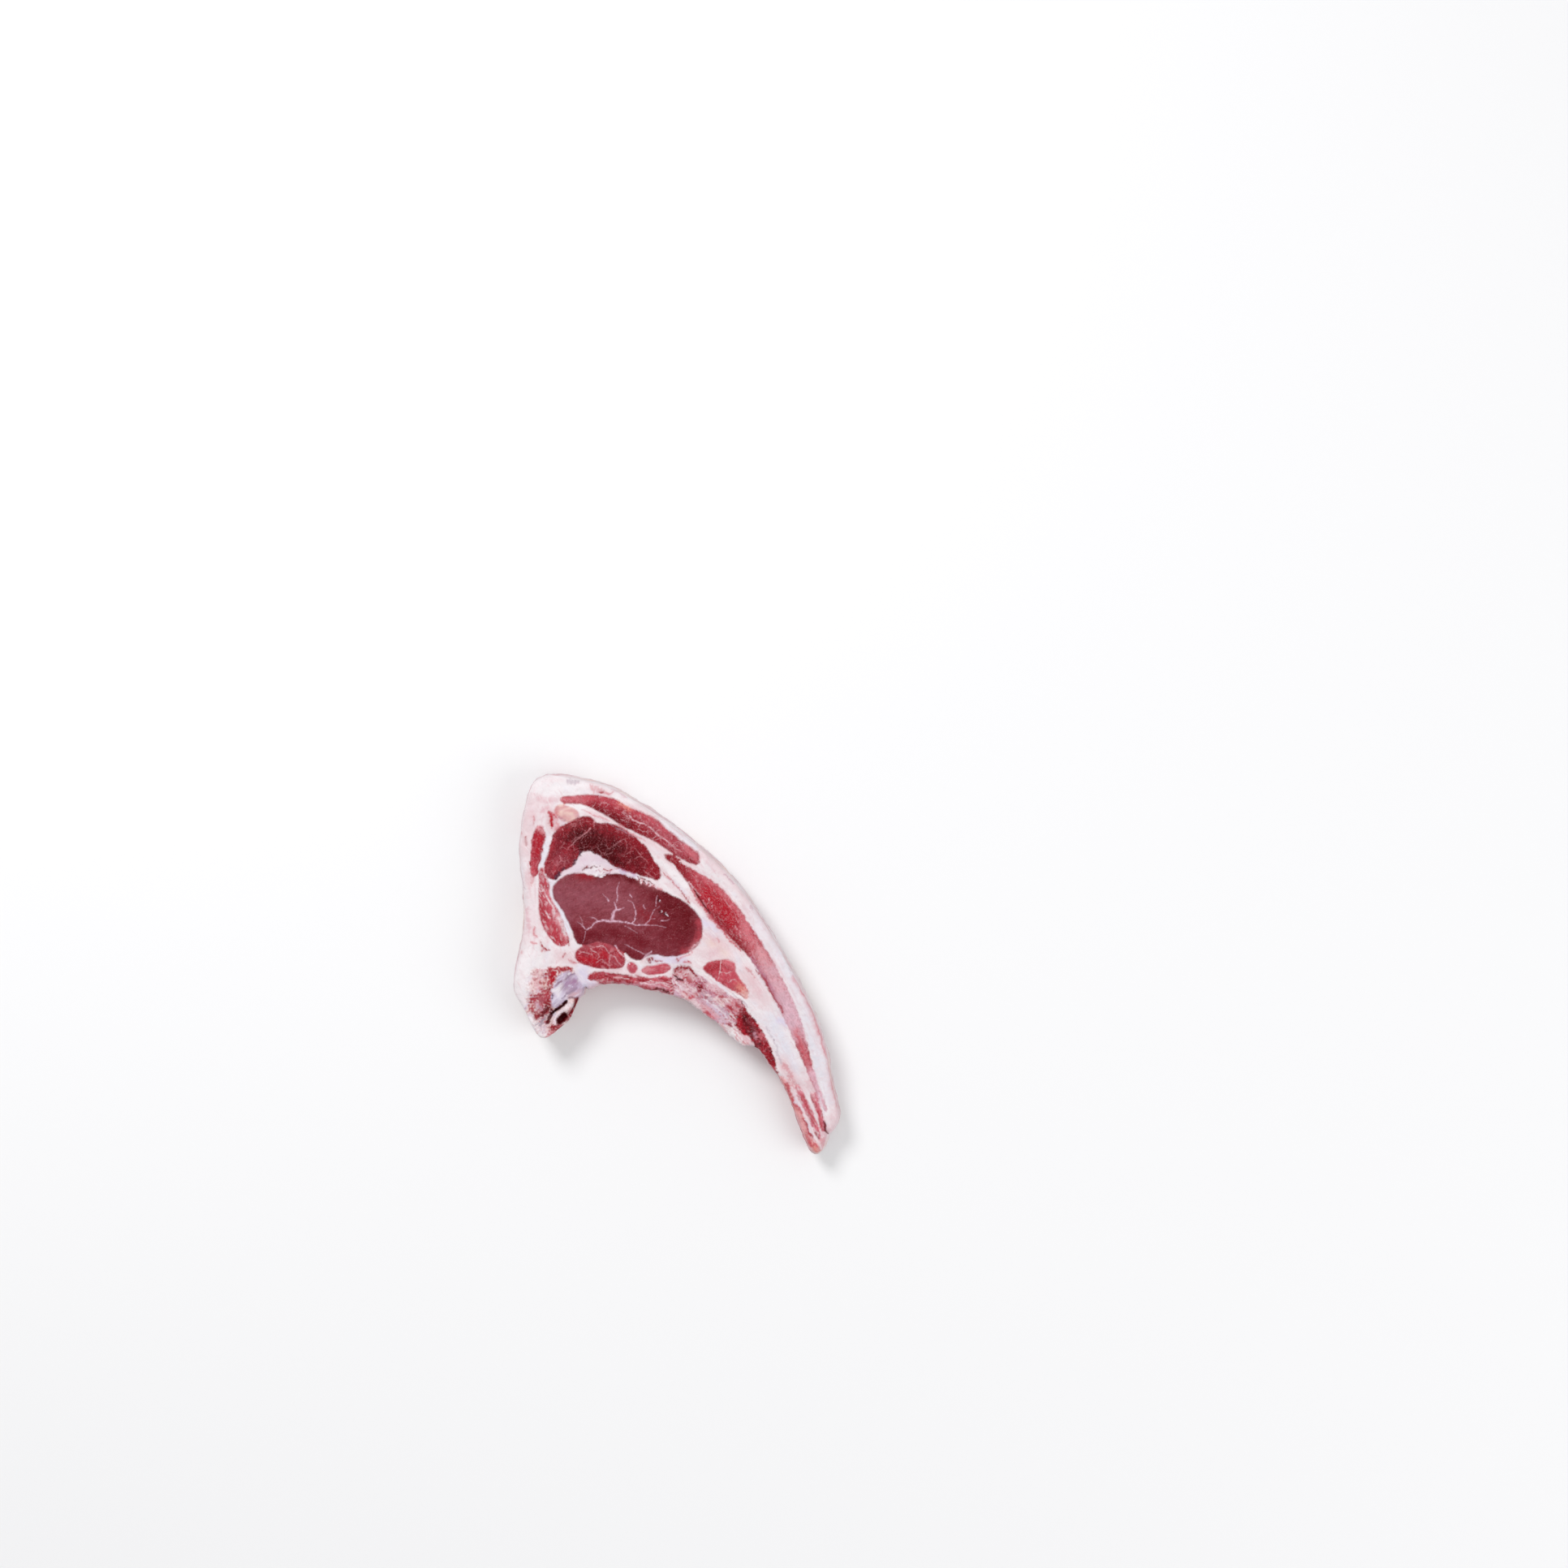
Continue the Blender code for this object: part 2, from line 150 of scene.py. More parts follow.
def softened(values, passes):     # smoothed along a closed line
    for _ in range(passes):
        values = (np.roll(values, 1, axis=0) + 2 * values + np.roll(values, -1, axis=0)) / 4
    return values


def endsHeld(route, passes):      # smoothed along an open line
    for _ in range(passes):
        route[1:-1] = (route[:-2] + 2 * route[1:-1] + route[2:]) / 4
    return route


def outwardNormals(loop):    # of a counterclockwise loop
    tangent = np.roll(loop, -1, axis=0) - np.roll(loop, 1, axis=0)
    tangent /= np.maximum(np.linalg.norm(tangent, axis=1), 1e-9)[:, None]
    return np.column_stack([tangent[:, 1], -tangent[:, 0]])


def noiseOf(points, length, seed=0.0):
    scaled = np.column_stack([np.asarray(points)[:, :2] / length, np.full(len(points), seed)])
    return np.array([noise.noise(Vector(p)) for p in scaled])


def smoothedLoop(loop, grow):     # an outline made even and smooth, and moved out by grow
    if signedArea(loop) < 0:
        loop = loop[::-1]
    loop = softened(resample(loop, faceMesh["spacing"]), faceMesh["outlineSmoothing"])
    return loop + outwardNormals(loop) * grow


def wholeOutline():          # the solids swollen past their gaps and fused by a voxel remesh
    work = mergedCopy(sorted(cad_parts))
    swell = 2 * faceMesh["seamHalfGap"]
    for vert in work.verts:
        vert.co += vert.normal * swell * mm
    mesh = bpy.data.meshes.new("wholeChop")
    work.to_mesh(mesh)
    work.free()
    holder = bpy.data.objects.new("wholeChop", mesh)
    bpy.context.scene.collection.objects.link(holder)
    remesh = holder.modifiers.new("fuse", "REMESH")
    remesh.mode = "VOXEL"
    remesh.voxel_size = faceMesh["outlineVoxel"] * mm
    bpy.context.view_layer.update()
    fused = bpy.data.meshes.new_from_object(
        holder.evaluated_get(bpy.context.evaluated_depsgraph_get()))
    bpy.data.objects.remove(holder)
    work = bmesh.new()
    work.from_mesh(fused)
    bpy.data.meshes.remove(fused)
    return smoothedLoop(sectionLoop(work), -swell)


def pointTree(points):
    tree = kdtree.KDTree(len(points))
    for index, point in enumerate(points):
        tree.insert((point[0], point[1], 0.0), index)
    tree.balance()
    return tree


def nearestTo(tree, points):
    return np.array([tree.find((p[0], p[1], 0.0))[1] for p in points])


def distancesTo(tree, points):
    return np.array([tree.find((p[0], p[1], 0.0))[2] for p in points])


def insideLoop(points, loop):
    inside = np.zeros(len(points), bool)
    low, high = loop.min(axis=0), loop.max(axis=0)
    near = np.where(np.all((points >= low) & (points <= high), axis=1))[0]
    x, y = points[near, 0], points[near, 1]
    hit = np.zeros(len(near), bool)
    for (x0, y0), (x1, y1) in zip(loop, np.roll(loop, -1, axis=0)):
        if y0 != y1:
            spans = (y < y0) != (y < y1)
            hit ^= spans & (x < x0 + (y - y0) * (x1 - x0) / (y1 - y0))
    inside[near] = hit
    return inside


def pushedOut(loop, outline, earlier):
    # A piece that meets the rim or an earlier piece runs on past that line
    reach = np.zeros(len(loop))
    for points, (near, far) in ((outline, faceMesh["pastRim"]), (earlier, faceMesh["pastSeam"])):
        if len(points):
            reach[distancesTo(pointTree(points), loop) < near] = far
    return loop + outwardNormals(loop) * reach[:, None]


outline = wholeOutline()
fineOutline = resample(outline, faceMesh["fineStep"])
rimLength = routeLength(closedUp(outline))
seams, earlier = {}, np.empty((0, 2))
for nodeName in pieceOrder:
    loop = smoothedLoop(sectionLoop(mergedCopy([nodeName])), faceMesh["seamHalfGap"])
    wobble = noiseOf(loop, faceMesh["wobbleLength"], seed=len(seams) * 3.7)
    loop = loop + outwardNormals(loop) * (wobble * faceMesh["seamWobble"])[:, None]
    seams[nodeName] = pushedOut(loop, fineOutline, earlier)
    earlier = np.vstack([earlier, resample(seams[nodeName], faceMesh["fineStep"])])
print("outlines read:", len(seams), "seams, rim", round(rimLength), "mm")


def signedAreas(points, triangles):
    a, b, c = (points[triangles[:, k]] for k in range(3))
    return 0.5 * ((b[:, 0] - a[:, 0]) * (c[:, 1] - a[:, 1]) - (b[:, 1] - a[:, 1]) * (c[:, 0] - a[:, 0]))


def centresOf(points, triangles):
    return points[triangles].mean(axis=1)


def pointsAlong(routes, step):
    return np.vstack([resample(route, step, closed) for route, closed in routes])


def triangulated(routes, loose):
    # Triangles inside the outline that keep to every route: a list of (points, closed)
    coords, edges = [], []
    for route, closed in routes:
        first, last = len(coords), len(coords) + len(route) - 1
        coords.extend(np.asarray(route).tolist())
        edges.extend((k, k + 1) for k in range(first, last))
        if closed:
            edges.append((last, first))
    lines = pointTree(pointsAlong(routes, faceMesh["lineStep"]))
    coords.extend(loose[distancesTo(lines, loose) > faceMesh["clearance"] * faceMesh["spacing"]].tolist())
    made = delaunay_2d_cdt([Vector(c) for c in coords], edges, [], 0, 1e-4, False)
    points = np.array([(v.x, v.y) for v in made[0]])
    triangles = np.array([t for t in made[2] if len(t) == 3])
    turned = signedAreas(points, triangles) < 0
    triangles[turned] = triangles[turned][:, ::-1]
    kept = insideLoop(centresOf(points, triangles), outline)
    kept &= np.abs(signedAreas(points, triangles)) > faceMesh["smallestArea"]
    return points, triangles[kept]


def loosePoints():           # an even, slightly uneven spread of points inside the rim
    rng = random.Random(faceMesh["seed"])
    step, rise, stray = faceMesh["spacing"], faceMesh["rowSpacing"], faceMesh["stray"]
    low, high = outline.min(axis=0), outline.max(axis=0)
    points = []
    for row in range(int((high[1] - low[1]) / (step * rise)) + 1):
        for column in range(int((high[0] - low[0]) / step) + 1):
            x = low[0] + (column + 0.5 * (row % 2) + rng.uniform(-stray, stray)) * step
            y = low[1] + (row * rise + rng.uniform(-stray, stray)) * step
            points.append((x, y))
    points = np.array(points)
    return points[insideLoop(points, outline)]


def ownersOf(centres):       # index in pieceOrder, or its length for the fat
    owner = np.full(len(centres), fatIndex)
    for index in reversed(range(fatIndex)):
        owner[insideLoop(centres, seams[pieceOrder[index]])] = index
    return owner


def edgeSides(triangles):    # {(low point, high point): the triangles on its two sides}
    sides = {}
    for index, (a, b, c) in enumerate(triangles.tolist()):
        for edge in ((a, b), (b, c), (c, a)):
            sides.setdefault((min(edge), max(edge)), []).append(index)
    return sides


def regions(count, sides, joined):
    # Groups of triangles that touch across an edge for which joined(edge, pair) holds
    beside = [[] for _ in range(count)]
    for edge, pair in sides.items():
        if len(pair) == 2 and joined(edge, pair):
            beside[pair[0]].append(pair[1])
            beside[pair[1]].append(pair[0])
    seen = np.zeros(count, bool)
    groups = []
    for start in range(count):
        if seen[start]:
            continue
        seen[start] = True
        group, stack = [], [start]
        while stack:
            here = stack.pop()
            group.append(here)
            for other in beside[here]:
                if not seen[other]:
                    seen[other] = True
                    stack.append(other)
        groups.append(group)
    return groups


def mostCommon(values):
    return max(sorted(set(values)), key=values.count)


def joinedScraps(triangles, owner):
    # An island of a piece away from its largest one goes to the piece round it
    sides = edgeSides(triangles)
    for _ in range(2):
        groups = regions(len(triangles), sides, lambda edge, pair: owner[pair[0]] == owner[pair[1]])
        groupOf = np.zeros(len(triangles), int)
        for index, group in enumerate(groups):
            groupOf[group] = index
        around = [[] for _ in groups]
        for pair in sides.values():
            if len(pair) == 2 and owner[pair[0]] != owner[pair[1]]:
                around[groupOf[pair[0]]].append(owner[pair[1]])
                around[groupOf[pair[1]]].append(owner[pair[0]])
        largest = {}
        for index, group in enumerate(groups):
            name = owner[group[0]]
            if name not in largest or len(group) > len(groups[largest[name]]):
                largest[name] = index
        changed = owner.copy()
        for index, group in enumerate(groups):
            if index != largest[owner[group[0]]] and around[index]:
                changed[group] = mostCommon(around[index])
        owner = changed
    return owner


def seamChains(points, triangles, owner):
    # The lines between pieces and round the rim, from meeting point to meeting point
    links = {}
    for (a, b), pair in edgeSides(triangles).items():
        if len(pair) == 1 or owner[pair[0]] != owner[pair[1]]:
            links.setdefault(a, set()).add(b)
            links.setdefault(b, set()).add(a)
    used, chains = set(), []

    def walk(start, following):
        chain = [start, following]
        used.update([(start, following), (following, start)])
        while len(links[chain[-1]]) == 2 and chain[-1] != start:
            ahead = next(v for v in links[chain[-1]] if v != chain[-2])
            used.update([(chain[-1], ahead), (ahead, chain[-1])])
            chain.append(ahead)
        return chain

    meetings = [v for v in sorted(links) if len(links[v]) != 2]
    for start in meetings + sorted(links):
        for following in sorted(links[start]):
            if (start, following) not in used:
                chains.append(walk(start, following))
    return chains


def evenChain(points, chain):     # a seam's stretch made smooth and even, and whether it closes
    route, spacing, passes = points[chain], faceMesh["spacing"], faceMesh["chainPasses"]
    if chain[0] == chain[-1]:
        return resample(softened(resample(route[:-1], faceMesh["chainStep"]), passes), spacing), True
    count = max(1, int(round(routeLength(route) / spacing)))
    return inSteps(endsHeld(inSteps(route, 2 * count), passes), count), False


def buildSheet(threads):
    # A first sheet finds where the outlines meet; the second is laid along the tidied lines
    loose = loosePoints()
    routes = [(outline, True)] + [(seams[name], True) for name in pieceOrder]
    points, triangles = triangulated(routes, loose)
    firstOwner = joinedScraps(triangles, ownersOf(centresOf(points, triangles)))
    chains = [evenChain(points, chain) for chain in seamChains(points, triangles, firstOwner)]
    firstCentres = pointTree(centresOf(points, triangles))
    points, triangles = triangulated(chains + [(thread, False) for thread in threads], loose)
    votes = firstOwner[nearestTo(firstCentres, centresOf(points, triangles))].tolist()
    lines, fineLines = (pointTree(pointsAlong(chains, step)) for step in faceMesh["foundStep"])
    onLine = distancesTo(lines, points) < faceMesh["onLine"]
    sides = edgeSides(triangles)
    candidates = [edge for edge in sides if onLine[edge[0]] and onLine[edge[1]]]
    off = distancesTo(fineLines, [points[list(edge)].mean(axis=0) for edge in candidates])
    barrier = {edge for edge, gap in zip(candidates, off) if gap < faceMesh["alongLine"]}
    owner = np.zeros(len(triangles), int)
    for group in regions(len(triangles), sides, lambda edge, pair: edge not in barrier):
        owner[group] = mostCommon([votes[index] for index in group])
    return points, triangles, joinedScraps(triangles, owner)


# Tones of the flesh as seen, 0 to 255
tones = {
    "fat": (233, 223, 227), "whiteFat": (240, 233, 236), "blueFat": (226, 223, 233),
    "pinkFat": (228, 204, 209), "blush": (220, 178, 186), "cream": (238, 213, 200),
    "sinew": (226, 212, 222), "lilac": (207, 190, 212), "paleLilac": (217, 208, 228),
    "mauve": (176, 112, 138), "lilacGreyAndShade": (168, 146, 162), "slate": (82, 44, 62),
    "salmon": (220, 134, 122), "palePink": (213, 146, 154), "pink": (206, 112, 122),
    "rose": (190, 74, 86), "dustyRose": (170, 80, 92), "brickPink": (176, 64, 76),
    "brick": (162, 40, 52), "crimson": (172, 24, 40), "garnet": (140, 24, 36),
    "oldRose": (146, 76, 88), "maroon": (110, 22, 34), "wine": (98, 8, 20),
    "oxblood": (72, 0, 6), "clot": (44, 2, 8),
}
baseTones = {
    "fat_body": "fat", "eye_muscle": (126, 48, 58), "cap_muscle": (134, 20, 34),
    "shoulder_muscle": (154, 38, 52), "flank_muscle": (168, 44, 58), "back_oval_muscle": (160, 36, 52),
    "spine_muscle": (188, 78, 92), "under_muscle": (152, 36, 50), "small_round_muscle": (186, 76, 92),
    "under_strip_muscle": (188, 78, 92), "rib_muscle": (192, 76, 90), "neck_ligament": (214, 158, 160),
    "inner_strip": (188, 94, 110), "rib_bone": (208, 154, 168), "rib_marrow": (138, 14, 30),
    "edge_membrane": (228, 206, 210), "cartilage": (200, 182, 206), "vertebra": (232, 206, 206),
    "tail_strip_inner": (226, 166, 168), "tail_strip_middle": (212, 126, 140),
    "tail_strip_outer": (212, 128, 142),
}

# Soft washes on each piece, in mm: tone, radius, strength, x and y of the points of its middle line
washes = {
    "fat_body": [
        ("whiteFat", 7, 0.7, (-53, 70, -45, 69, -36, 69)),
        ("whiteFat", 2.2, 0.9, (-46, 64.8, -40, 63, -33, 60.6)),
        ("pinkFat", 2.4, 0.9, (-33, 59.4, -26, 56, -19, 52.4, -11, 48, -2, 44.6)),
        ("blush", 1.5, 0.7, (-54.5, 65.8, -51, 64.8, -47.4, 65.2)),
        ("pinkFat", 3.4, 0.9, (-57, 63, -58, 55, -59, 46)),
        ("blush", 2.2, 0.6, (-47.6, 57.6, -46.8, 54.6)),
        ((222, 200, 212), 3, 1, (-44, 36.6, -38, 40, -32, 42.6, -24, 40.8, -16, 37.8)),
        ("sinew", 1, 0.7, (-45, 34.6, -40, 38.4, -36, 40.4, -30, 40.4, -22, 38.8)),
        ("blueFat", 2.6, 0.9, (-51.6, 50, -52.6, 42, -51, 36, -47.6, 27, -42.6, 15)),
        ("pinkFat", 3.6, 0.3, (-58, 34, -57, 22, -57, 12)),
        ("whiteFat", 5, 0.8, (-58, 2, -61, -6)),
        ("pinkFat", 3, 0.8, (-46, 3.6, -41, 3)),
        ("paleLilac", 3, 0.9, (-36.6, -2, -36.8, -8, -33, -8)),
        ("blush", 1.6, 0.7, (-33, -8.6, -29, -7.4, -26.6, -6.4)),
        ("blush", 1.3, 0.5, (-28, -2, -22, -2, -15, -3.4)),
        ("paleLilac", 2, 0.8, (-9, 2.6, -3, 2.6, 3, 2.4)),
        ("pinkFat", 5.5, 0.9, (13, 7, 18, 5)),
        ("cream", 1.6, 0.4, (13, 9, 17, 8, 19, 4.4)),
        ("blush", 1.8, 0.4, (14, 4, 18, 8, 12, 12)),
        ("paleLilac", 2.2, 0.6, (11, 17, 16, 14)),
        ("blueFat", 2.6, 0.6, (30, 23, 40, 6, 49, -12, 56, -34, 60, -54)),
        ("pinkFat", 2, 0.9, (10, 46, 20, 36, 30, 23.6, 40, 8.6)),
        ("blush", 1.1, 0.9, (46, -5, 52.6, -17, 55.4, -24.6)),
        ("blush", 1.3, 0.9, (55.4, -24.6, 58.6, -33, 60.6, -44, 63.6, -57)),
        ("blush", 2.6, 0.6, (63.5, -60, 60.6, -65)),
        ("pinkFat", 3, 0.8, (27, -2, 31, -9, 34, -13)),
        ("blush", 2, 0.5, (30, -6, 32.4, -11)),
        ("blueFat", 3, 0.9, (37, -21, 41, -29, 46, -41)),
        ("pinkFat", 2.6, 0.9, (42, -38, 45, -45, 50, -49)),
        ("paleLilac", 1.4, 0.9, (40.6, -21.6, 43.4, -23.4)),
        ("blush", 1.6, 0.7, (52, -46, 53.6, -50)),
        ("blush", 1.4, 0.8, (57.6, -66, 58, -70)),
        ("palePink", 1, 0.7, (56.8, -69, 58, -71.6)),
    ],
    "eye_muscle": [
        ("oldRose", 5.6, 0.8, (-42, 27, -35, 27, -27, 27, -20, 24)),
        ("oldRose", 2, 0.9, (-47.6, 29, -45.8, 25, -42.6, 19)),
        ("maroon", 2.7, 0.9, (-36, 11.4, -28, 13, -20, 12, -12, 9)),
        ("maroon", 2.6, 0.9, (-39, 13, -37.5, 9.6)),
        ("maroon", 5.4, 0.8, (-8, 27, -3, 20, -3, 12, 3, 9)),
        ("wine", 4.6, 1, (-2, 24.6, 2.6, 20, 4, 15.6)),
        ("maroon", 2.2, 0.9, (-19, 5, -14.5, 3.4)),
        ("brickPink", 1.6, 0.7, (9, 17, 9.2, 11, 7, 7.2, 3, 5.4)),
        ("garnet", 1.5, 0.8, (-39, 35.4, -33, 35)),
        ("wine", 1.3, 0.9, (-31, 35.2, -24, 35.6, -18, 34.2, -11, 31, -4, 28)),
        ("garnet", 2.2, 0.5, (-14, 21, -10, 18)),
    ],
    "cap_muscle": [
        ("garnet", 2.6, 1, (-44, 53.4, -40, 54)),
        ("maroon", 3, 0.7, (-46.6, 49.6, -47, 44)),
        ("garnet", 3, 0.8, (-27, 54, -20, 50.6, -14, 45.6)),
        ("garnet", 2, 1, (-11, 41, -8.2, 36.6)),
        ("dustyRose", 2.7, 0.5, (-50.4, 37.6, -47.4, 40.6, -44, 42)),
        ("brick", 1.2, 0.6, (-50.8, 41, -50, 45, -48.6, 49.6)),
        ("wine", 4, 0.9, (-30, 50, -23, 45.6, -16, 41)),
        ("oxblood", 4.8, 1, (-36.5, 51, -31.5, 48.2, -26, 45.4)),
        ("oxblood", 2.4, 0.8, (-42, 50.4, -37, 49)),
        ("oxblood", 1.4, 0.9, (-37, 46.4, -31, 44.6, -27, 42.2, -21, 40)),
        ("garnet", 1.3, 0.7, (-35, 57.6, -33.6, 56)),
    ],
    "shoulder_muscle": [
        ("pink", 2, 0.8, (-45.4, 65.4, -41, 65.6, -36, 65.4)),
        ("rose", 1.4, 0.8, (-36, 66, -28, 65.4, -20, 62.6, -12, 58.4, -4, 53)),
        ("garnet", 2.2, 0.9, (-33, 62.2, -26, 59.2, -18, 55.4, -9, 51)),
        ("wine", 1.6, 0.6, (-31, 61.6, -24, 58, -18, 55)),
        ("salmon", 1.5, 0.8, (-22, 64.6, -18.8, 62.4)),
        ((184, 92, 104), 2.6, 0.55, (-10, 56, -3, 50.6, 3, 45)),
        ("pink", 1.2, 0.7, (3.6, 47, 8, 42)),
    ],
    "flank_muscle": [
        ("garnet", 3.2, 1, (-4.6, 43.4, 0, 39.4, 4.4, 35)),
        ("brickPink", 2.6, 0.7, (6, 36, 11, 31.6)),
        ("crimson", 4, 1, (13, 29, 17.4, 24, 21.4, 18.4)),
        ("garnet", 1.7, 0.8, (15, 20, 20, 14.4, 24, 10, 28.6, 4.6)),
        ("pink", 1.5, 0.55, (9, 36, 17.6, 29.6, 24, 22, 29, 15)),
        ("pink", 2.4, 0.9, (26.4, 15, 30.6, 8.6, 34, 3.4)),
        ("palePink", 3.4, 0.9, (33.4, 5, 36.4, -0.6, 39.6, -7)),
        ((216, 166, 178), 4.6, 1, (38, -3, 42, -12, 45, -19)),
        ("mauve", 1.6, 0.7, (29.6, 1.8, 33.4, -3.6, 36.6, -9.6, 40.4, -16)),
        ((218, 176, 190), 4.4, 1, (43, -15, 46, -22, 48, -27)),
        ("pink", 1.6, 0.8, (47.4, -26, 50, -34, 53, -44)),
        ("rose", 0.6, 0.6, (47.6, -28, 49, -32, 50.6, -37)),
        ((220, 172, 186), 2.6, 1, (53.6, -43, 56, -50, 58, -57, 59.6, -64)),
    ],
    "back_oval_muscle": [
        ("palePink", 1.8, 0.9, (-52.8, 53.6, -54, 55)),
        ("crimson", 1.6, 0.9, (-54.4, 50.6, -54.8, 45)),
        ("rose", 1.3, 0.7, (-56.8, 43, -56.2, 36.6)),
    ],
    "spine_muscle": [
        ("brick", 1.1, 0.5, (-53, 37.6, -52.4, 32)),
        ("pink", 1.4, 0.8, (-51, 29, -49, 24)),
        ("brick", 1.7, 0.7, (-53, 24, -52.4, 18.6)),
        ("palePink", 1.5, 0.9, (-46.8, 20.4, -45.4, 16)),
        ("crimson", 1.8, 0.6, (-49.4, 15, -46.6, 10.4)),
        ("pink", 1.1, 0.7, (-44, 12, -43.4, 9)),
    ],
    "under_muscle": [
        ("dustyRose", 1.7, 0.6, (-36.6, 8, -30, 9.6, -24.6, 7.8)),
        ("crimson", 1.7, 0.9, (-37.4, 2.4, -32.4, 1.8)),
        ("crimson", 1.3, 0.9, (-30, 4.2, -27.6, 3.8)),
        ("dustyRose", 1.7, 0.6, (-24.6, 3, -22, 0.2)),
    ],
    "under_strip_muscle": [("palePink", 1.1, 0.8, (-13.6, -2.4, -10.6, -1.6))],
    "rib_muscle": [
        ("brick", 2.6, 1, (12, -1, 16.2, 0.2)),
        ("pink", 1.3, 0.7, (20.4, 1, 22.4, -0.6)),
        ("salmon", 1.8, 0.9, (25, -8.4, 26.6, -10.6)),
        ((230, 182, 178), 2, 1, (27.4, -11.6, 28.6, -14)),
    ],
    "neck_ligament": [
        ("cream", 1, 0.4, (-45.6, 60.8, -43, 60, -41, 58.8)),
        ("pink", 0.8, 0.6, (-48, 60.6, -46.4, 57.8, -43.6, 56.4, -40.6, 56.8)),
        # painted shadow line along the ligament's lower edge, in a lilac grey
        ("lilacGreyAndShade", 0.6, 0.5, (-46.8, 58.4, -44.4, 56.8, -41, 56.4, -38.6, 58.6)),
    ],
    "inner_strip": [
        ("brick", 1.6, 0.9, (-34, -4.2, -29, -4.4)),
        ((202, 144, 158), 1.3, 0.9, (-20, -6.8, -10, -7.6, -4, -8.6)),
        ("rose", 0.9, 0.8, (-26, -4.6, -17, -5.6, -8, -6)),
    ],
    "rib_bone": [
        ("pinkFat", 1.5, 0.9, (1.4, -3, 4.4, -2.8, 6.4, -4.6)),
        ("mauve", 1.6, 0.5, (8, -7, 12, -9.6, 15, -11)),
        ("lilacGreyAndShade", 2.2, 0.5, (10.6, -13, 15, -16, 18, -18.4)),
        ("blush", 2, 0.7, (13, -7.6, 17.6, -9.8)),
        ("blush", 1.8, 0.6, (12.6, -17.4, 16, -19)),
        ("brickPink", 1.3, 0.5, (-1, -1.6, 3, -3.4, 8, -7)),
        ((232, 202, 204), 1.3, 0.8, (15.6, -13.6, 18, -14.4)),
        ("whiteFat", 0.8, 0.7, (20.2, -14, 21.4, -13.4)),
        ("palePink", 1.6, 0.8, (22, -14.6, 24, -17)),
        ("lilac", 1.6, 0.5, (14, -19.4, 18.6, -22)),
        ("pink", 1, 0.7, (10, -17.4, 14, -20.6)),
        ("pink", 1.1, 0.8, (18.8, -25.4, 20, -26.4)),
        ("pinkFat", 1.8, 0.8, (2.4, -9, 6, -14, 9, -16.4)),
    ],
    "rib_marrow": [
        ("garnet", 2.1, 0.9, (26, -18.4, 27.6, -23, 31, -25)),
        ("oxblood", 1.7, 0.8, (26.6, -21, 29.4, -24.4, 31.6, -27.4)),
        ("clot", 1.1, 0.8, (29, -27, 30.6, -30, 32, -31.4)),
        ("dustyRose", 1.2, 0.35, (28.6, -22.4, 32, -26)),
        ("brick", 1.2, 0.7, (23.8, -21.6, 26, -26, 29.6, -29.4)),
        ("crimson", 0.6, 0.6, (24.6, -19.6, 25.4, -24, 28, -28)),
        ("crimson", 1, 0.7, (32, -23, 33, -24.4)),
        ((196, 140, 156), 0.8, 0.7, (30.8, -27.2, 31.8, -28.6)),
        ("pink", 1.4, 0.8, (33.6, -27.6, 35.4, -28.4)),
        ("rose", 1.6, 0.3, (32, -31, 35, -33.4)),
        ("garnet", 1.2, 0.9, (36.6, -35.6, 37.6, -39.6)),
        ((216, 166, 176), 1.5, 1, (24, -13.2, 25, -15, 24, -17.4)),
        ("brick", 0.6, 0.8, (23.6, -15.4, 24.6, -16.2)),
    ],
    "edge_membrane": [
        ("pink", 0.8, 0.7, (18.8, -25.4, 19.8, -26.6)),
        ("whiteFat", 1.6, 0.8, (22, -27, 26, -29.6)),
        ("blush", 1.2, 0.8, (26, -28, 29, -31)),
    ],
    "cartilage": [
        ("whiteFat", 0.9, 0.9, (-48.4, -10.2, -46.2, -9.4, -45, -7.6)),
        ("whiteFat", 1.1, 0.9, (-45.8, -8.4, -46.6, -12.4)),
        ((170, 138, 168), 2.5, 1, (-43, -7.4, -41.2, -9.2)),
        ((160, 112, 148), 1, 0.8, (-41.4, -6.8, -39.8, -6.2)),
        ("lilacGreyAndShade", 1.6, 0.5, (-44.6, -9.4, -41, -11.4)),
        ("blush", 1.3, 0.7, (-42, -12, -38.6, -11)),
        ("paleLilac", 1.4, 0.8, (-47.6, -13.6, -45, -12)),
    ],
    "vertebra": [
        ("salmon", 1.9, 0.25, (-55, -2.6, -54, -6.6, -55.4, -10)),
        ("whiteFat", 2, 0.9, (-59.4, -12, -59.4, -4, -57, -0.2, -52, 1)),
        ("blush", 2.6, 0.6, (-53.4, -2.6, -53.8, -8, -55, -12)),
        ("palePink", 1.6, 0.3, (-50.6, -2.4, -51.4, -8, -52.2, -11.6)),
        ("cream", 1.1, 0.5, (-52.4, -5.4, -52, -8.4)),
        ("brick", 1.2, 0.9, (-50, -1.8, -46.4, -1.4, -41.6, -1.8)),
        ("brick", 1.8, 1, (-48.6, -3.8, -49.2, -7, -50, -10.6, -50.4, -14)),
        ("crimson", 1.5, 0.9, (-48, -3.2, -48.8, -5.6)),
        ("brick", 0.7, 0.8, (-54, -6.8, -52, -6.9)),
        ("brick", 0.8, 0.7, (-51.6, -3.4, -51.8, -4.8)),
        ("brickPink", 0.8, 0.7, (-52.8, -9.4, -51.4, -10)),
        ("brickPink", 1.5, 1, (-56.6, -13.4, -54, -12, -51.4, -12.8)),
        ("dustyRose", 2.2, 1, (-53.6, -14.2, -53, -17.4)),
        ("brick", 0.9, 0.8, (-57, -14, -57, -17, -55.4, -19.6)),
        ("whiteFat", 2.4, 0.9, (-58, -21.6, -55, -25, -52, -27)),
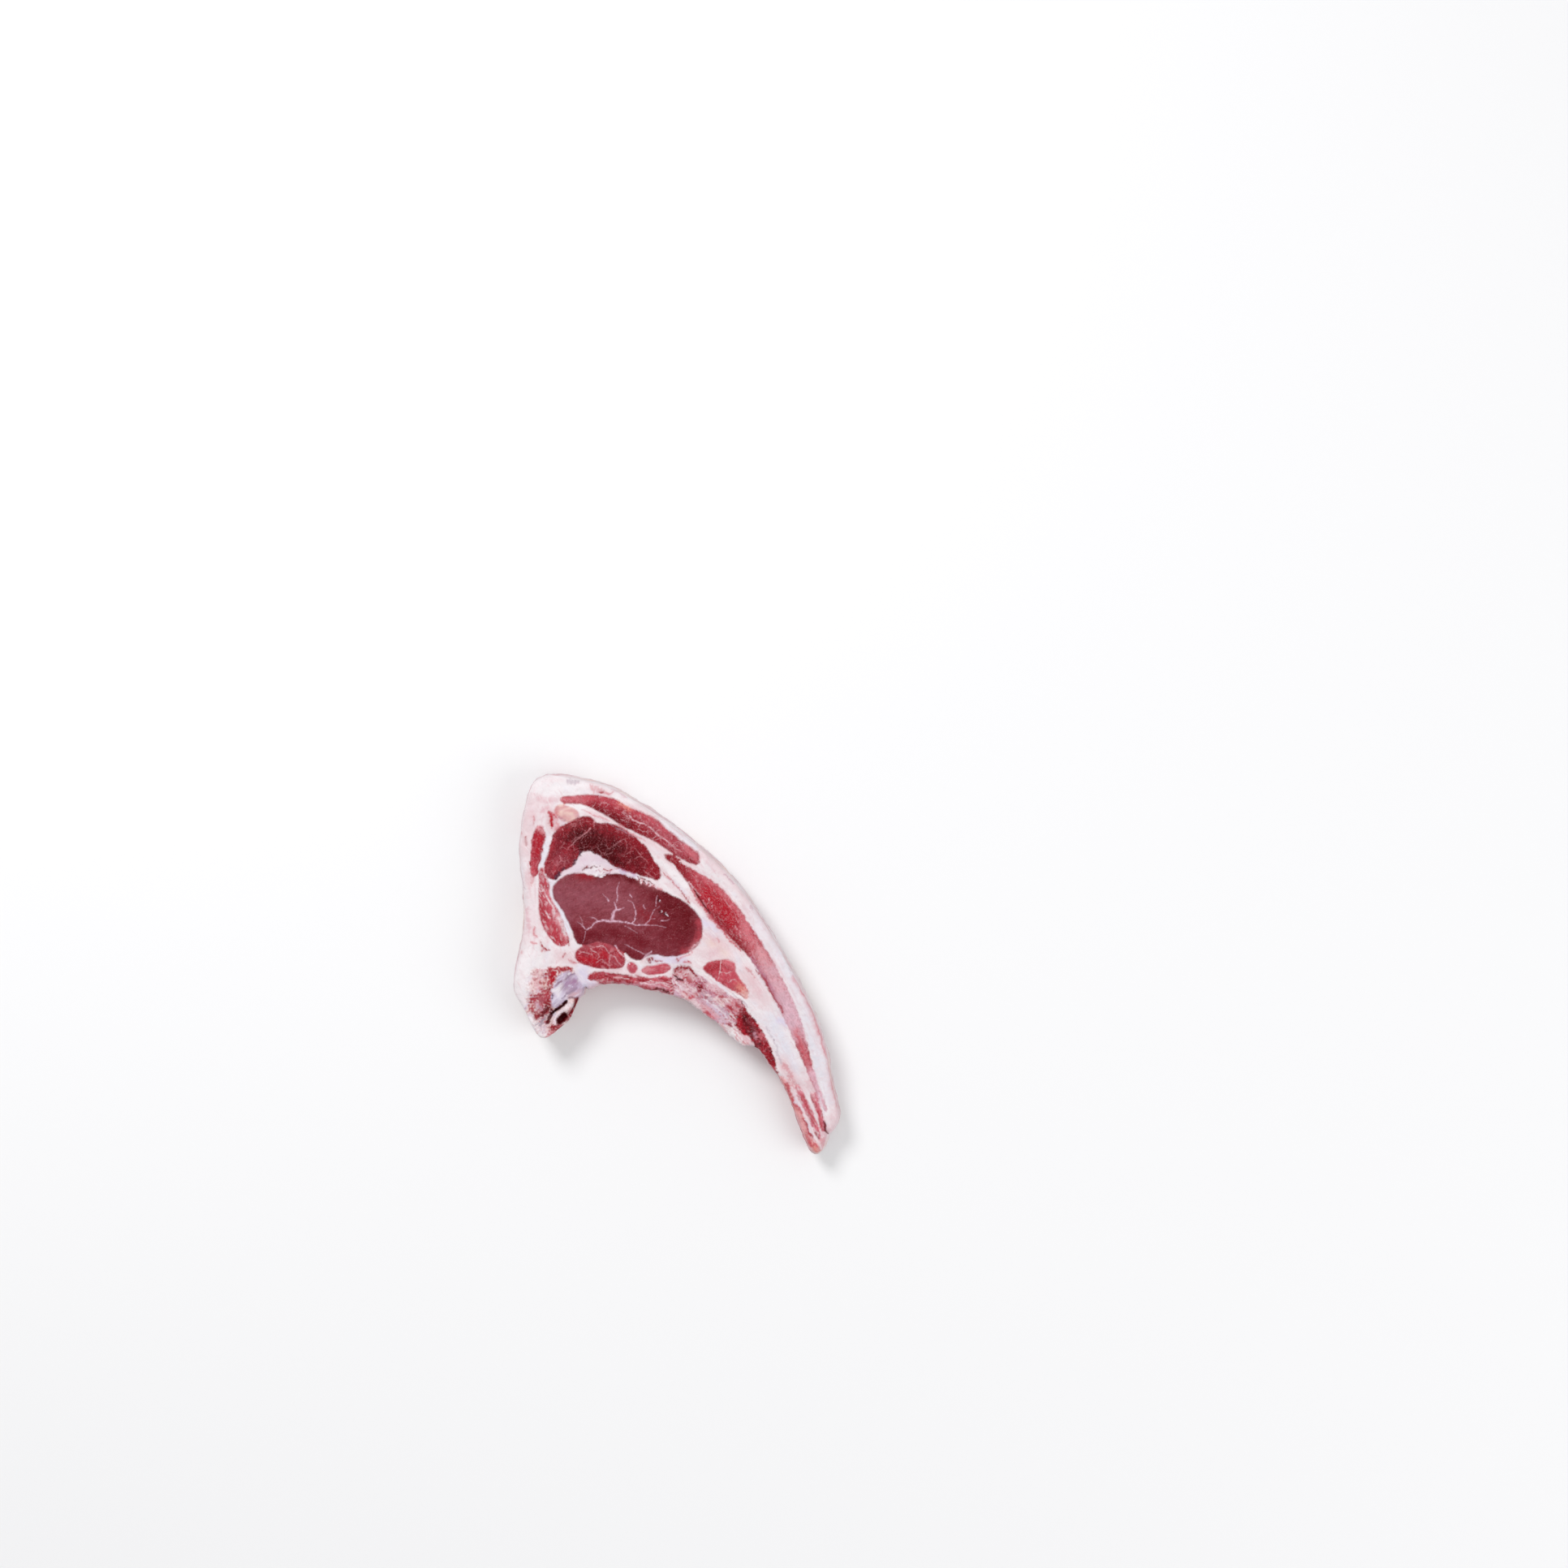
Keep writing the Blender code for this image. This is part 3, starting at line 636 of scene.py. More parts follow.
        ("garnet", 1.1, 1, (-50.6, -14.6, -50.8, -17, -52.4, -19.4, -55.4, -20.4)),
        ("wine", 0.8, 0.9, (-50.9, -16.6, -51.8, -18.6, -53.4, -19.8)),
        ((206, 168, 184), 0.9, 0.8, (-54.6, -15.4, -54.2, -16.8)),
        ((196, 168, 184), 1.6, 0.6, (-53.6, -23, -52.6, -25)),
        ("lilacGreyAndShade", 0.7, 0.6, (-54.4, -23.8, -53, -21.8, -51.6, -20.2)),
        ("pink", 1.5, 0.8, (-50, -27.6, -47, -24.8)),
        ("garnet", 1.1, 0.9, (-49.4, -25, -46.4, -24.4)),
        # The hollow in the bone: the marrow's red, darkened as painted shade of the hole
        ("wine", 2, 1, (-46, -21.6, -44, -20.6)),
        ("garnet", 0.9, 1, (-38.8, -12.6, -40, -15.6, -42.2, -20)),
        ("maroon", 1.1, 0.9, (-38.8, -13.4, -37.4, -11)),
    ],
    "tail_strip_inner": [
        ("salmon", 0.9, 0.4, (42.4, -46, 46.4, -55, 49, -62, 52, -69.4)),
        ("pinkFat", 0.7, 0.9, (47.4, -61, 50.4, -68.6, 54.4, -74.6)),
        ("rose", 0.7, 0.7, (43.8, -47.6, 45.4, -51.2)),
        ("rose", 0.7, 0.7, (46.6, -54, 49.6, -58)),
        ("rose", 0.6, 0.8, (50, -60.4, 51.8, -64.6, 53.6, -68.6)),
        ((226, 168, 172), 1.4, 0.8, (47, -59, 50, -66)),
        ("salmon", 1.4, 0.7, (54, -71, 55.4, -73.6)),
        ("rose", 0.6, 0.8, (51.6, -67.6, 53.4, -71.4)),
    ],
    "tail_strip_middle": [
        ("pinkFat", 1.2, 0.6, (46.6, -46, 48, -49)),
        ("rose", 0.9, 0.7, (49.6, -51.6, 52, -57, 54, -62)),
        ("garnet", 0.8, 0.8, (55, -67, 56.2, -69.6)),
    ],
    "tail_strip_outer": [
        ("brick", 0.9, 0.9, (56.4, -62, 57.6, -66)),
        ("pinkFat", 0.7, 0.6, (53.2, -50, 54, -52.4)),
    ],
}

# Narrow strokes over whatever they cross, in mm: tone, half width at each end, strength, x and y of
# the points
strokes = [
    ("lilacGreyAndShade", 1, 0.8, 0.5, (-43.2, 72.2, -40.5, 71.7, -38.8, 71.8)),
    ("pink", 0.8, 0.9, 0.45, (-34.4, 70.4, -31.8, 69.2, -29.6, 68.4)),
    ("brick", 0.35, 0.25, 0.8, (-30.6, 68, -28.4, 68.3)),
    ("pink", 0.4, 0.2, 0.7, (-28.4, 68.2, -26.8, 67.7, -25.3, 67.8)),
    ("blush", 0.6, 0.4, 0.6, (-26, 69, -22.5, 67.8, -19.6, 65.8)),
    ("crimson", 0.95, 0.5, 1, (-50, 61.2, -49.4, 59.6, -49.3, 58, -49.6, 56.2, -49.1, 54)),
    ("rose", 0.6, 0.4, 0.8, (-49.2, 60.6, -47.8, 59.4, -47, 57.8)),
    ("blush", 0.8, 0.6, 0.8, (-53, 60.8, -51.2, 61.8, -50, 61.4)),
    ("rose", 0.6, 0.35, 0.5, (-56.4, 59, -55.8, 57.6, -56.2, 55.6)),
    ("pink", 0.7, 0.5, 0.6, (-47.4, 56.6, -46.4, 55.4, -47.8, 53.4)),
    ("rose", 0.4, 0.3, 0.6, (-61.2, 52.6, -61.1, 51.4)),
    ("brick", 0.3, 0.2, 0.7, (-59.4, 51, -58.9, 48.6, -59.1, 47)),
    ("pink", 0.8, 0.6, 0.4, (-57.2, 37.4, -56.6, 34.4, -56.8, 31.4)),
    ("blush", 0.6, 0.5, 0.7, (-58.4, 23, -58, 18, -57.8, 13)),
    ("pink", 0.4, 0.3, 0.7, (-55.7, 15.7, -56.3, 12.9, -54.8, 10.6)),
    ("brick", 0.45, 0.25, 0.95, (-53.4, 9.2, -52.3, 7.2, -50.8, 6.3, -49.7, 6)),
    ("rose", 0.35, 0.2, 0.7, (-53.1, 5.4, -52.5, 6.9)),
    ("pink", 0.35, 0.2, 0.6, (-57.4, 9.4, -55.1, 8.3)),
    ("pink", 0.35, 0.25, 0.5, (-60.8, 6, -60.5, 4.6)),
    ("brickPink", 0.6, 0.4, 0.7, (-44.6, 3.6, -43, 4.6)),
    ("rose", 0.4, 0.3, 0.7, (-42.4, 2.4, -40.6, 1.4, -38.4, 0.8)),
    ("brick", 0.4, 0.3, 0.8, (-42.8, 10.6, -42.3, 7.9)),
    ("pink", 0.22, 0.22, 0.6, (-38, 61.6, -34, 60.2, -30, 58.4, -26, 56.6)),
    ("pink", 0.22, 0.22, 0.6, (-23.2, 55.4, -19.6, 52.9, -16.6, 51.6, -12, 48.6)),
    ("lilacGreyAndShade", 0.22, 0.2, 0.5, (-31, 58.4, -26, 55.4, -21, 52.9, -15.6, 49.8)),
    ("rose", 0.22, 0.35, 0.65, (-5.9, 37.7, -3.7, 35.2, -0.7, 32.2, 1.8, 29.7)),
    ("brick", 0.35, 0.3, 0.85, (1.8, 29.7, 3.7, 26.7, 5.5, 24.2)),
    ("blush", 0.5, 0.4, 0.7, (5, 5.6, 7.6, 8, 9.6, 9.6)),
    ("pink", 0.3, 0.2, 0.6, (6.5, 5.8, 5.2, 4.2, 3, 3.7, 0, 1.4)),
    ("garnet", 0.8, 0.5, 0.9, (-11, 1.9, -10, 2.9, -9.6, 2)),
    ("brick", 0.35, 0.2, 0.8, (-8.7, 1.6, -5.8, 1.4, -5, 1.6)),
    ("brick", 0.45, 0.4, 0.8, (0.2, 2.6, 0.6, 1.6)),
    ("rose", 0.3, 0.3, 0.8, (2.8, 1.2, 4.4, 1.6, 5.8, 1)),
    ("pink", 0.4, 0.25, 0.6, (16.1, 10.8, 17, 9.2)),
    ("mauve", 0.5, 0.4, 0.35, (28.2, 23.7, 29.8, 21.7)),
    ("mauve", 0.35, 0.3, 0.45, (18.4, 35.4, 20.4, 34, 22.6, 31.6)),
    ("rose", 0.3, 0.3, 0.5, (27.6, -0.6, 29, -2.6, 31, -5)),
    ("pink", 0.35, 0.3, 0.5, (47.7, -8.3, 53.5, -18, 56.8, -29.5, 59.1, -37.6)),
    ("pink", 0.4, 0.4, 0.5, (59.6, -40, 61.8, -49, 63.4, -57.1)),
    ("mauve", 0.45, 0.3, 0.5, (44.4, -1.2, 45, -2.4)),
    ("rose", 0.3, 0.25, 0.8, (37.2, -39.2, 39.2, -41)),
    ("pink", 0.9, 1.2, 0.5, (42, -38.6, 44.6, -43.6, 47.4, -49)),
    ("garnet", 0.5, 0.5, 1, (-1.5, -3, 0.1, -1.3, 1.8, -0.6, 4.4, -0.6, 6, -1.8, 8.3, -4.4)),
    ("oxblood", 0.5, 0.35, 1, (-0.9, -4.1, 0.1, -5, 1.4, -5.6, 2.7, -6)),
    ("brickPink", 0.4, 0.3, 0.8, (2.6, -5.4, 3.6, -4.2, 4.6, -5.6)),
    ("brick", 0.7, 0.5, 0.9, (5.4, -6.2, 6, -7)),
    ("garnet", 1, 0.8, 0.9, (8.8, -7.6, 9.8, -8.8, 9.2, -10.2)),
    ("wine", 0.5, 0.3, 0.8, (8.8, -8, 9.6, -8.8)),
    ("rose", 0.8, 0.7, 0.9, (5.6, -12.4, 6.8, -11.8)),
    ("rose", 0.4, 0.4, 0.7, (2.7, -10.2, 4.6, -11.6)),
    ("brickPink", 0.4, 0.4, 0.6, (8.6, -12.6, 11, -13.4)),
    ("brick", 0.75, 0.6, 0.9, (17.4, -11.8, 18.2, -12.1)),
    ("brick", 0.6, 0.7, 0.85, (20.4, -16.6, 21.9, -17.4, 22.4, -18)),
    ((208, 168, 182), 1.6, 1.2, 0.75, (9, -13.2, 13, -16, 17, -19.2, 20, -22.2)),
    ("sinew", 0.35, 0.3, 0.8, (10, -12.6, 14, -15.2, 18, -18.4, 21, -21.2)),
    ("palePink", 0.3, 0.3, 0.6, (9, -14.8, 13, -17.4, 17, -20.8)),
    ("lilac", 0.4, 0.3, 0.7, (12, -14.8, 15.4, -17.4, 18.6, -20.4)),
    ("pink", 0.4, 0.5, 0.6, (10.9, -18, 13.2, -19.5, 15.8, -21.4)),
    ("brickPink", 0.45, 0.35, 0.8, (10.4, -17.8, 12.2, -18.8, 13.8, -19.8)),
    ("palePink", 0.3, 0.25, 0.8, (22.8, -26, 23.6, -28.2, 24.8, -30)),
    ("rose", 0.22, 0.2, 0.6, (26, -29.6, 27.6, -30.8, 29, -31.8)),
    ("rose", 0.22, 0.2, 0.6, (22.4, -25, 24, -26.2, 25.2, -27.6)),
    ("garnet", 0.3, 0.3, 0.9, (19.9, -23.3, 21, -24.1, 22.4, -24.3)),
    ("brickPink", 0.7, 0.6, 0.7, (23.4, -14.6, 25, -16.4)),
    ("lilacGreyAndShade", 0.36, 0.3, 0.5, (21.9, -11, 23.8, -12.2, 26.8, -14.8, 28.7, -17)),
    ("whiteFat", 0.35, 0.3, 0.9, (22.6, -10.8, 25.6, -12.8, 28.4, -15.4)),
    ("garnet", 0.4, 0.4, 0.9, (-28, -4, -25.7, -5, -23.4, -5.6, -20.8, -5.7, -16.9, -6.3)),
    ("garnet", 0.5, 0.4, 0.8, (-26.7, -3.4, -24, -3.6, -21.4, -4.2, -17.5, -5)),
    ("brick", 0.3, 0.25, 0.8, (-15.9, -4, -13.6, -4.7, -11, -5.1, -9, -5.1)),
    ("garnet", 0.4, 0.4, 1, (-15.2, -5.4, -13.3, -6, -11, -6.3)),
    ("brick", 0.35, 0.3, 0.7, (-14.2, -7.4, -12.3, -8.3, -9.7, -8.6)),
    ("rose", 0.35, 0.25, 0.8, (-5.4, -4.3, -2.8, -5.2)),
    ("rose", 0.3, 0.25, 0.7, (-6.4, -7.4, -3, -8.6, -0.6, -9.4)),
    ("wine", 0.55, 0.4, 1, (-9, -9, -7.1, -9.2, -5.1, -9.7, -2.2, -10.4)),
    ("rose", 0.4, 0.3, 0.7, (-28.4, -6.8, -25.8, -6)),
    # Dark slits in the torn fat along the cap's lower left edge: painted shade
    ("slate", 0.7, 0.5, 0.9, (-37.6, 44.9, -38.4, 43.2)),
    ("slate", 0.5, 0.65, 1, (-39.2, 42, -40.6, 39.6)),
    ("slate", 0.55, 0.5, 0.8, (-45, 37.6, -43.8, 38.4)),
    ("slate", 0.6, 0.8, 0.95, (-46, 37, -46.6, 35.4, -47.6, 34)),
    ("wine", 0.32, 0.3, 0.9, (7.3, 29.5, 8.6, 27, 10.9, 23.7, 13.2, 20.7)),
    ("garnet", 0.3, 0.25, 0.6, (13.2, 20.7, 15.8, 17.5, 19, 13.9, 22.3, 10.6, 28.2, 4.1)),
    ("rose", 0.6, 0.5, 0.8, (6, 30, 9, 25, 14, 18.6, 20, 11.4, 25.6, 5.7)),
    ("brick", 0.4, 0.35, 0.8, (31.3, -1.6, 34.3, -5.3, 36.6, -9, 38.8, -13, 40.6, -16.6)),
    ("brick", 0.5, 0.4, 0.85, (40.9, -16, 42.2, -19)),
    ("garnet", 0.3, 0.3, 1, (58.1, -62, 58.7, -63.7, 58.7, -65.4, 59.6, -66.8)),
    ("pinkFat", 0.8, 0.7, 1, (9.4, 45, 9.9, 43, 9.7, 41.4)),
    ("pinkFat", 0.6, 0.6, 1, (1.6, 41, 4.6, 39.7, 7.6, 39)),
    ("rose", 0.4, 0.35, 0.7, (42.8, -46.4, 44.6, -51, 47, -55.2, 49.6, -59)),
    ("sinew", 0.5, 0.4, 0.9, (46, -52, 48.4, -55.6, 50.2, -58.6)),
    ("brick", 0.32, 0.4, 0.85, (50.2, -60.4, 51.8, -64.2, 53.6, -68.8)),
    ("rose", 0.4, 0.3, 0.8, (54.2, -70, 55.6, -72.4)),
    ("palePink", 0.5, 0.4, 0.7, (56.6, -70.4, 57.6, -72)),
    ("sinew", 0.35, 0.3, 0.9, (50.8, -61, 52.4, -64.6, 54.4, -68.6)),
    ("brickPink", 0.38, 0.4, 0.7, (49.8, -51.6, 51.8, -56.4, 53.6, -61, 54.8, -64.6)),
    ("rose", 0.4, 0.5, 0.6, (53.4, -51, 55, -55.4, 56.6, -60, 57.6, -65.6)),
    ("sinew", 0.3, 0.3, 0.9, (56, -50.4, 57.4, -55.4, 58.2, -60)),
    ("garnet", 0.22, 0.3, 0.9, (-35, 39.2, -36.6, 37.8)),
    ("sinew", 0.8, 0.7, 0.9, (-35.6, 37.6, -33, 36.6, -30.4, 35.6, -28.4, 35.6)),
    ("whiteFat", 0.5, 0.4, 1, (-31.6, 36.6, -31.9, 34.9)),
    ("whiteFat", 0.45, 0.4, 1, (-29.6, 36.2, -29.7, 35)),
    ("sinew", 0.8, 0.9, 0.9, (-28, 36.9, -25, 37.1, -21.6, 37)),
    ("lilac", 0.75, 0.75, 0.95, (-22.4, 37, -19.4, 36.4, -16.8, 35.4, -14.4, 34)),
    ("sinew", 0.6, 0.55, 0.9, (-19.4, 36.2, -17.4, 35.4)),
    # The crease over the eye: its dark lines are the tissue's red, darkened further as painted crease shadow
    ("wine", 0.26, 0.14, 0.9, (-37.4, 37.2, -35.6, 38.5, -32.6, 38.9, -30, 39.1)),
    ("brick", 0.28, 0.22, 0.9, (-28.8, 38.3, -26.6, 37.5, -25.2, 37.7, -24, 38)),
    ("mauve", 0.24, 0.2, 0.9, (-24.6, 38, -21.6, 37.9, -18.6, 36.9, -15.4, 35.4)),
    ("mauve", 0.3, 0.24, 0.9, (-32, 37.2, -30.6, 37.7, -29.4, 37.4)),
    ("mauve", 0.3, 0.24, 0.8, (-29, 36.8, -27.4, 36.3, -26, 36.8)),
    ("wine", 0.28, 0.22, 0.9, (-15.6, 35.1, -13, 34.1, -10.6, 33, -8, 31.6)),
    ("palePink", 0.6, 0.5, 0.9, (-15.4, 34, -12.4, 32.6, -9.4, 31.5, -5.6, 30.2)),
    ("whiteFat", 0.42, 0.36, 1, (-15.9, 34.4, -15.3, 34)),
    ("whiteFat", 0.42, 0.36, 1, (-14.3, 33.6, -13.7, 33.1)),
    ("sinew", 0.42, 0.36, 1, (-12.5, 32.9, -11.9, 32.5)),
    ("sinew", 0.4, 0.36, 1, (-10.5, 32, -10, 31.6)),
    ("sinew", 0.34, 0.3, 0.9, (-8, 31, -7.4, 30.7)),
    # Dark gaps between the torn membrane's pale bits in the crease: painted shade
    ("wine", 0.3, 0.26, 1, (-14.8, 34.2, -14.6, 33.2)),
    ("clot", 0.3, 0.26, 1, (-13.1, 33.4, -12.9, 32.5)),
    ("wine", 0.28, 0.24, 1, (-11.2, 32.6, -11, 31.7)),
    ("wine", 0.26, 0.22, 1, (-9.2, 31.8, -8.8, 31)),
    # Three small pits in the eye: their dark is painted shade, and the pale sinew strokes beside them are
    # painted glints
    ("clot", 0.3, 0.25, 0.9, (-7.5, 26.9, -7.3, 24.9)),
    ("clot", 0.35, 0.3, 0.8, (-6.9, 21.8, -6.3, 20.6)),
    ("clot", 0.4, 0.3, 0.9, (-4.6, 20.9, -3.8, 19.2)),
    ("sinew", 0.2, 0.2, 0.9, (-6.8, 26.2, -6.6, 24.8)),
    ("sinew", 0.2, 0.2, 0.8, (-4, 21, -3.2, 19.4)),
    ("sinew", 0.18, 0.18, 0.8, (-6.2, 21.6, -5.4, 21.2)),
    ("lilacGreyAndShade", 0.4, 0.5, 0.4, (35.6, -24.3, 37.9, -28.8, 39.2, -32.1, 40.5, -36, 41.5, -39.3)),
    ("slate", 0.2, 0.15, 0.5, (38, -28.6, 38.6, -29.6)),
    ("lilacGreyAndShade", 0.25, 0.2, 0.4, (-60.3, 35.7, -60, 31.4, -58.5, 28.9)),
    ((128, 94, 122), 0.5, 0.45, 0.75, (-43.8, -5.1, -41.8, -3.9, -40, -2.9)),
    ((134, 88, 108), 0.4, 0.36, 0.75, (-47.6, -8.1, -46.5, -7.1, -45, -6.1)),
    ((148, 126, 150), 0.5, 0.4, 0.75, (-45.2, -13.3, -43, -11.3, -40.6, -9.6, -39, -8.6)),
    ((126, 84, 92), 0.4, 0.3, 0.8, (-42.6, -13.3, -41.2, -12.9, -39.6, -12.8)),
    ("lilacGreyAndShade", 0.4, 0.4, 0.8, (-51.4, -20.4, -52.6, -22, -53.6, -23.6)),
    ("garnet", 0.7, 0.5, 1, (-49.6, -24.6, -47.4, -24)),
    ("slate", 0.35, 0.3, 0.8, (-48.8, -11, -49, -11.8, -49.3, -13.2)),
    ("brick", 0.35, 0.3, 0.8, (-58, -13.2, -56.1, -14.1)),
    ("wine", 0.4, 0.35, 0.9, (-49.2, -16.4, -50.2, -18.4)),
    ((238, 222, 226), 1.3, 1, 1, (-41.6, -14.8, -43.2, -16.8, -45, -18.3)),
    ((234, 216, 224), 0.8, 0.9, 1, (-44.6, -18.2, -46.4, -19.2, -47.6, -20.6)),
    ((234, 216, 224), 0.9, 0.8, 1, (-47.6, -20.4, -48, -21.6, -48, -23.4)),
    ("pink", 0.35, 0.3, 0.7, (-41.6, -16.8, -42.8, -18.4)),
]


# Sinew and fat lines through the lean, in mm: half the width at each end, x and y of the points
whiteLines = {
    "eye": [
        (0.18, 0.32, (-35.4, 14, -34, 15, -32.5, 16.5, -31, 17.3, -29, 17.8)),
        (0.36, 0.42, (-29, 17.8, -25.5, 17.6, -22, 17.4)),
        (0.38, 0.24, (-22, 17.4, -19, 16.9, -17.2, 16.5)),
        (0.24, 0.06, (-17.2, 16.5, -15.4, 15.8, -11.5, 16.1, -8, 16, -4, 15)),
        (0.6, 0.36, (-25.2, 18.2, -24.9, 20, -24.2, 21.4, -23.5, 22.1)),
        (0.28, 0.08, (-23.4, 22.1, -22, 22.4, -20.4, 22.9)),
        (0.34, 0.16, (-23.6, 22.2, -23.8, 23.6, -24.4, 24.8)),
        (0.2, 0.1, (-23.4, 25, -23, 27, -23.3, 29.2, -23.1, 31, -22.3, 32.8)),
        (0.24, 0.12, (-18.2, 28, -17.4, 26.8)),
        (0.22, 0.1, (-12.9, 23.8, -12.2, 22.3)),
        (0.2, 0.08, (-8, 23.4, -7.9, 25.4, -7.5, 27.6)),
        (0.18, 0.06, (-5.8, 17.8, -4.4, 17.6, -2.8, 18.1)),
        (0.24, 0.08, (-26.6, 25.4, -27.4, 26.6, -29, 28.2)),
        (0.18, 0.25, (-17.2, 17, -16.2, 18.3, -15.9, 20.2, -16.1, 21.4)),
        (0.22, 0.08, (-16, 21.6, -16.4, 23.2, -17.4, 24.8, -18.9, 25.7)),
        (0.2, 0.08, (-12.1, 16.4, -10.6, 18.1, -9.5, 20.5, -8.8, 21.9, -6.5, 23.4)),
        (0.14, 0.06, (-9.9, 18.5, -8.1, 18.6)),
        (0.18, 0.07, (-35.6, 14.2, -37.2, 16, -38.9, 17.2)),
        (0.12, 0.06, (-36.6, 15.2, -37, 17.4, -37.9, 19.6)),
        (0.12, 0.06, (-35.8, 13.6, -36, 11.5, -36.8, 9)),
        (0.12, 0.06, (-20.2, 15.7, -18, 14.6, -15.4, 12.8)),
        (0.12, 0.16, (-20.2, 8.4, -17.6, 6.9, -14.7, 5.4, -11.9, 4.3)),
        (0.5, 0.26, (-13.6, 1.4, -12.4, 3.2, -11.4, 4.2, -9.7, 5.6)),
        (0.2, 0.1, (-30.8, 17.4, -32.5, 18.8, -34, 19.2)),
    ],
    "cap": [
        (0.26, 0.14, (-33.8, 54.1, -35.7, 52.2, -37.4, 50.8, -39.3, 49.2, -42.6, 46.4)),
        (0.12, 0.07, (-38.2, 50.6, -39.6, 50.4, -41, 49)),
        (0.2, 0.08, (-44.9, 53.8, -44.4, 52.2, -44.2, 50.4)),
        (0.34, 0.16, (-32.1, 58, -32.5, 56.4, -32.4, 54.6)),
        (0.16, 0.1, (-46, 43.4, -45.2, 41.4, -44.2, 41, -42.6, 41.6)),
        (0.12, 0.08, (-45.2, 41.4, -46.6, 40.2, -48, 39.8)),
        (0.14, 0.07, (-20.2, 49.5, -19.5, 47.7, -19.6, 46.2)),
        (0.14, 0.07, (-24.2, 47.5, -22.4, 48.8, -19.1, 50.2)),
        (0.16, 0.08, (-19.5, 44, -18, 44.9, -16.9, 45.1)),
        (0.14, 0.07, (-14.7, 44.3, -13.6, 42.9, -11.7, 41.8, -11, 39.9)),
        (0.18, 0.12, (-12.8, 37.4, -11.4, 35.9, -9.9, 35.2, -8.1, 34.1)),
        (0.12, 0.07, (-27.6, 43.6, -25.6, 44.4, -24.4, 46)),
    ],
    "shoulder": [
        (0.26, 0.32, (-18.4, 59, -16.5, 56.9, -14.7, 56.3, -12.1, 55.7, -10.3, 54.4)),
        (0.3, 0.2, (-10.3, 54.4, -9.2, 53.2, -7.7, 51.7, -5.5, 50.2, -3.3, 48.8)),
        (0.2, 0.12, (-3.3, 48.8, -1.1, 46.6, 1.1, 45.4)),
        (0.14, 0.08, (-14.3, 59.4, -13.8, 57.2)),
    ],
    "flank": [
        (0.34, 0.22, (5, 32.8, 6.3, 31.2, 8, 29.2, 9.5, 27.7)),
        (0.2, 0.12, (12.9, 26.6, 12.2, 24, 11.2, 24.7)),
        (0.12, 0.06, (19, 26, 22, 21.5, 24.5, 17)),
        (0.14, 0.1, (57, -50.4, 57.8, -54, 58.5, -58, 58.7, -61.4)),
    ],
    "spine": [
        (0.26, 0.34, (-51.7, 28.3, -50.3, 25.7, -48.5, 23.7, -48, 21.6)),
        (0.2, 0.16, (-54.2, 29.4, -52.6, 29, -51.9, 31)),
        (0.26, 0.34, (-51.4, 21.4, -50.8, 19.7, -49.7, 18.6)),
        (0.55, 0.4, (-48.3, 21.9, -47.9, 20.4)),
        (0.7, 0.6, (-46.4, 18.8, -45.2, 17.4, -44.4, 14.4, -43.8, 12)),
        (0.24, 0.16, (-52.4, 39.7, -52, 36, -51, 34.2, -50.6, 31)),
    ],
    "under": [
        (0.22, 0.16, (-38.3, 4.6, -36.5, 5.2, -34.3, 4.9, -33.1, 4.3)),
        (0.2, 0.12, (-34, 7.4, -33.6, 6, -31.4, 5.2, -30, 3.8, -31, 2.6)),
        (0.22, 0.18, (-31.4, 7.4, -29.4, 7.7, -28, 7.2, -27.1, 5.4, -25.7, 4, -24, 3.4)),
        (0.2, 0.12, (-24, 3.4, -22.8, 1.4, -21.7, 0)),
        (0.18, 0.12, (-26.8, 6, -26.3, 4, -26.6, 1.4, -26.3, -0.8)),
        (0.28, 0.2, (-24, 7.7, -22.3, 5.2, -20.6, 3.7, -18.4, 0.6)),
        (0.16, 0.1, (-31.4, 1.2, -30, 2.4, -28.2, 2)),
    ],
    "rib": [
        (0.18, 0.1, (17.6, 2, 17.4, -1, 16.8, -4, 16, -6.4)),
        (0.16, 0.1, (20.8, -6.6, 23, -5.4)),
        (0.16, 0.1, (17.2, -2.4, 19.4, -3, 21.6, -2.2)),
        (0.16, 0.08, (24.4, -10.8, 26.2, -11.6)),
    ],
    "inner": [
        (0.24, 0.18, (-14.2, -6.8, -11.6, -7.2, -8.7, -7.4, -6.4, -7)),
        (0.22, 0.16, (-10.3, -5.9, -7, -6.8, -2.8, -8.4)),
        (0.2, 0.14, (-24.6, -4.6, -21, -5, -18.6, -5.3)),
    ],
}

# Cracks and hollows in the cut face: half width, depth, points, all in mm
cracks = [
    (0.52, 1.5, (-43.4, -14.3, -45, -15.7, -46.4, -17, -48.2, -17.9, -49.6, -19.2)),
    (0.75, 0.8, (-49.6, -19.2, -50.3, -20.8, -50.9, -22.6)),
    (1.3, 1.9, (-46.2, -22, -45.2, -21.2, -44.5, -20.2)),
    (0.36, 0.5, (-38.9, -13, -40.2, -14.9, -41.2, -17.4, -42.6, -19.6)),
    (0.28, 0.5, (7.3, 29.5, 8.6, 27, 10.9, 23.7, 13.2, 20.7)),
    (0.3, 0.5, (58.1, -62, 58.7, -63.7, 58.7, -65.4, 59.6, -66.8)),
]

# Ridges that stand up from the cut face: half width, height, points, all in mm
ridgeLines = [
    (1.25, 0.9, (-41.6, -14.9, -43.2, -16.9, -45, -18.3)),
    (1, 0.8, (-46.6, -19.2, -47.8, -20.8, -48, -23)),
]

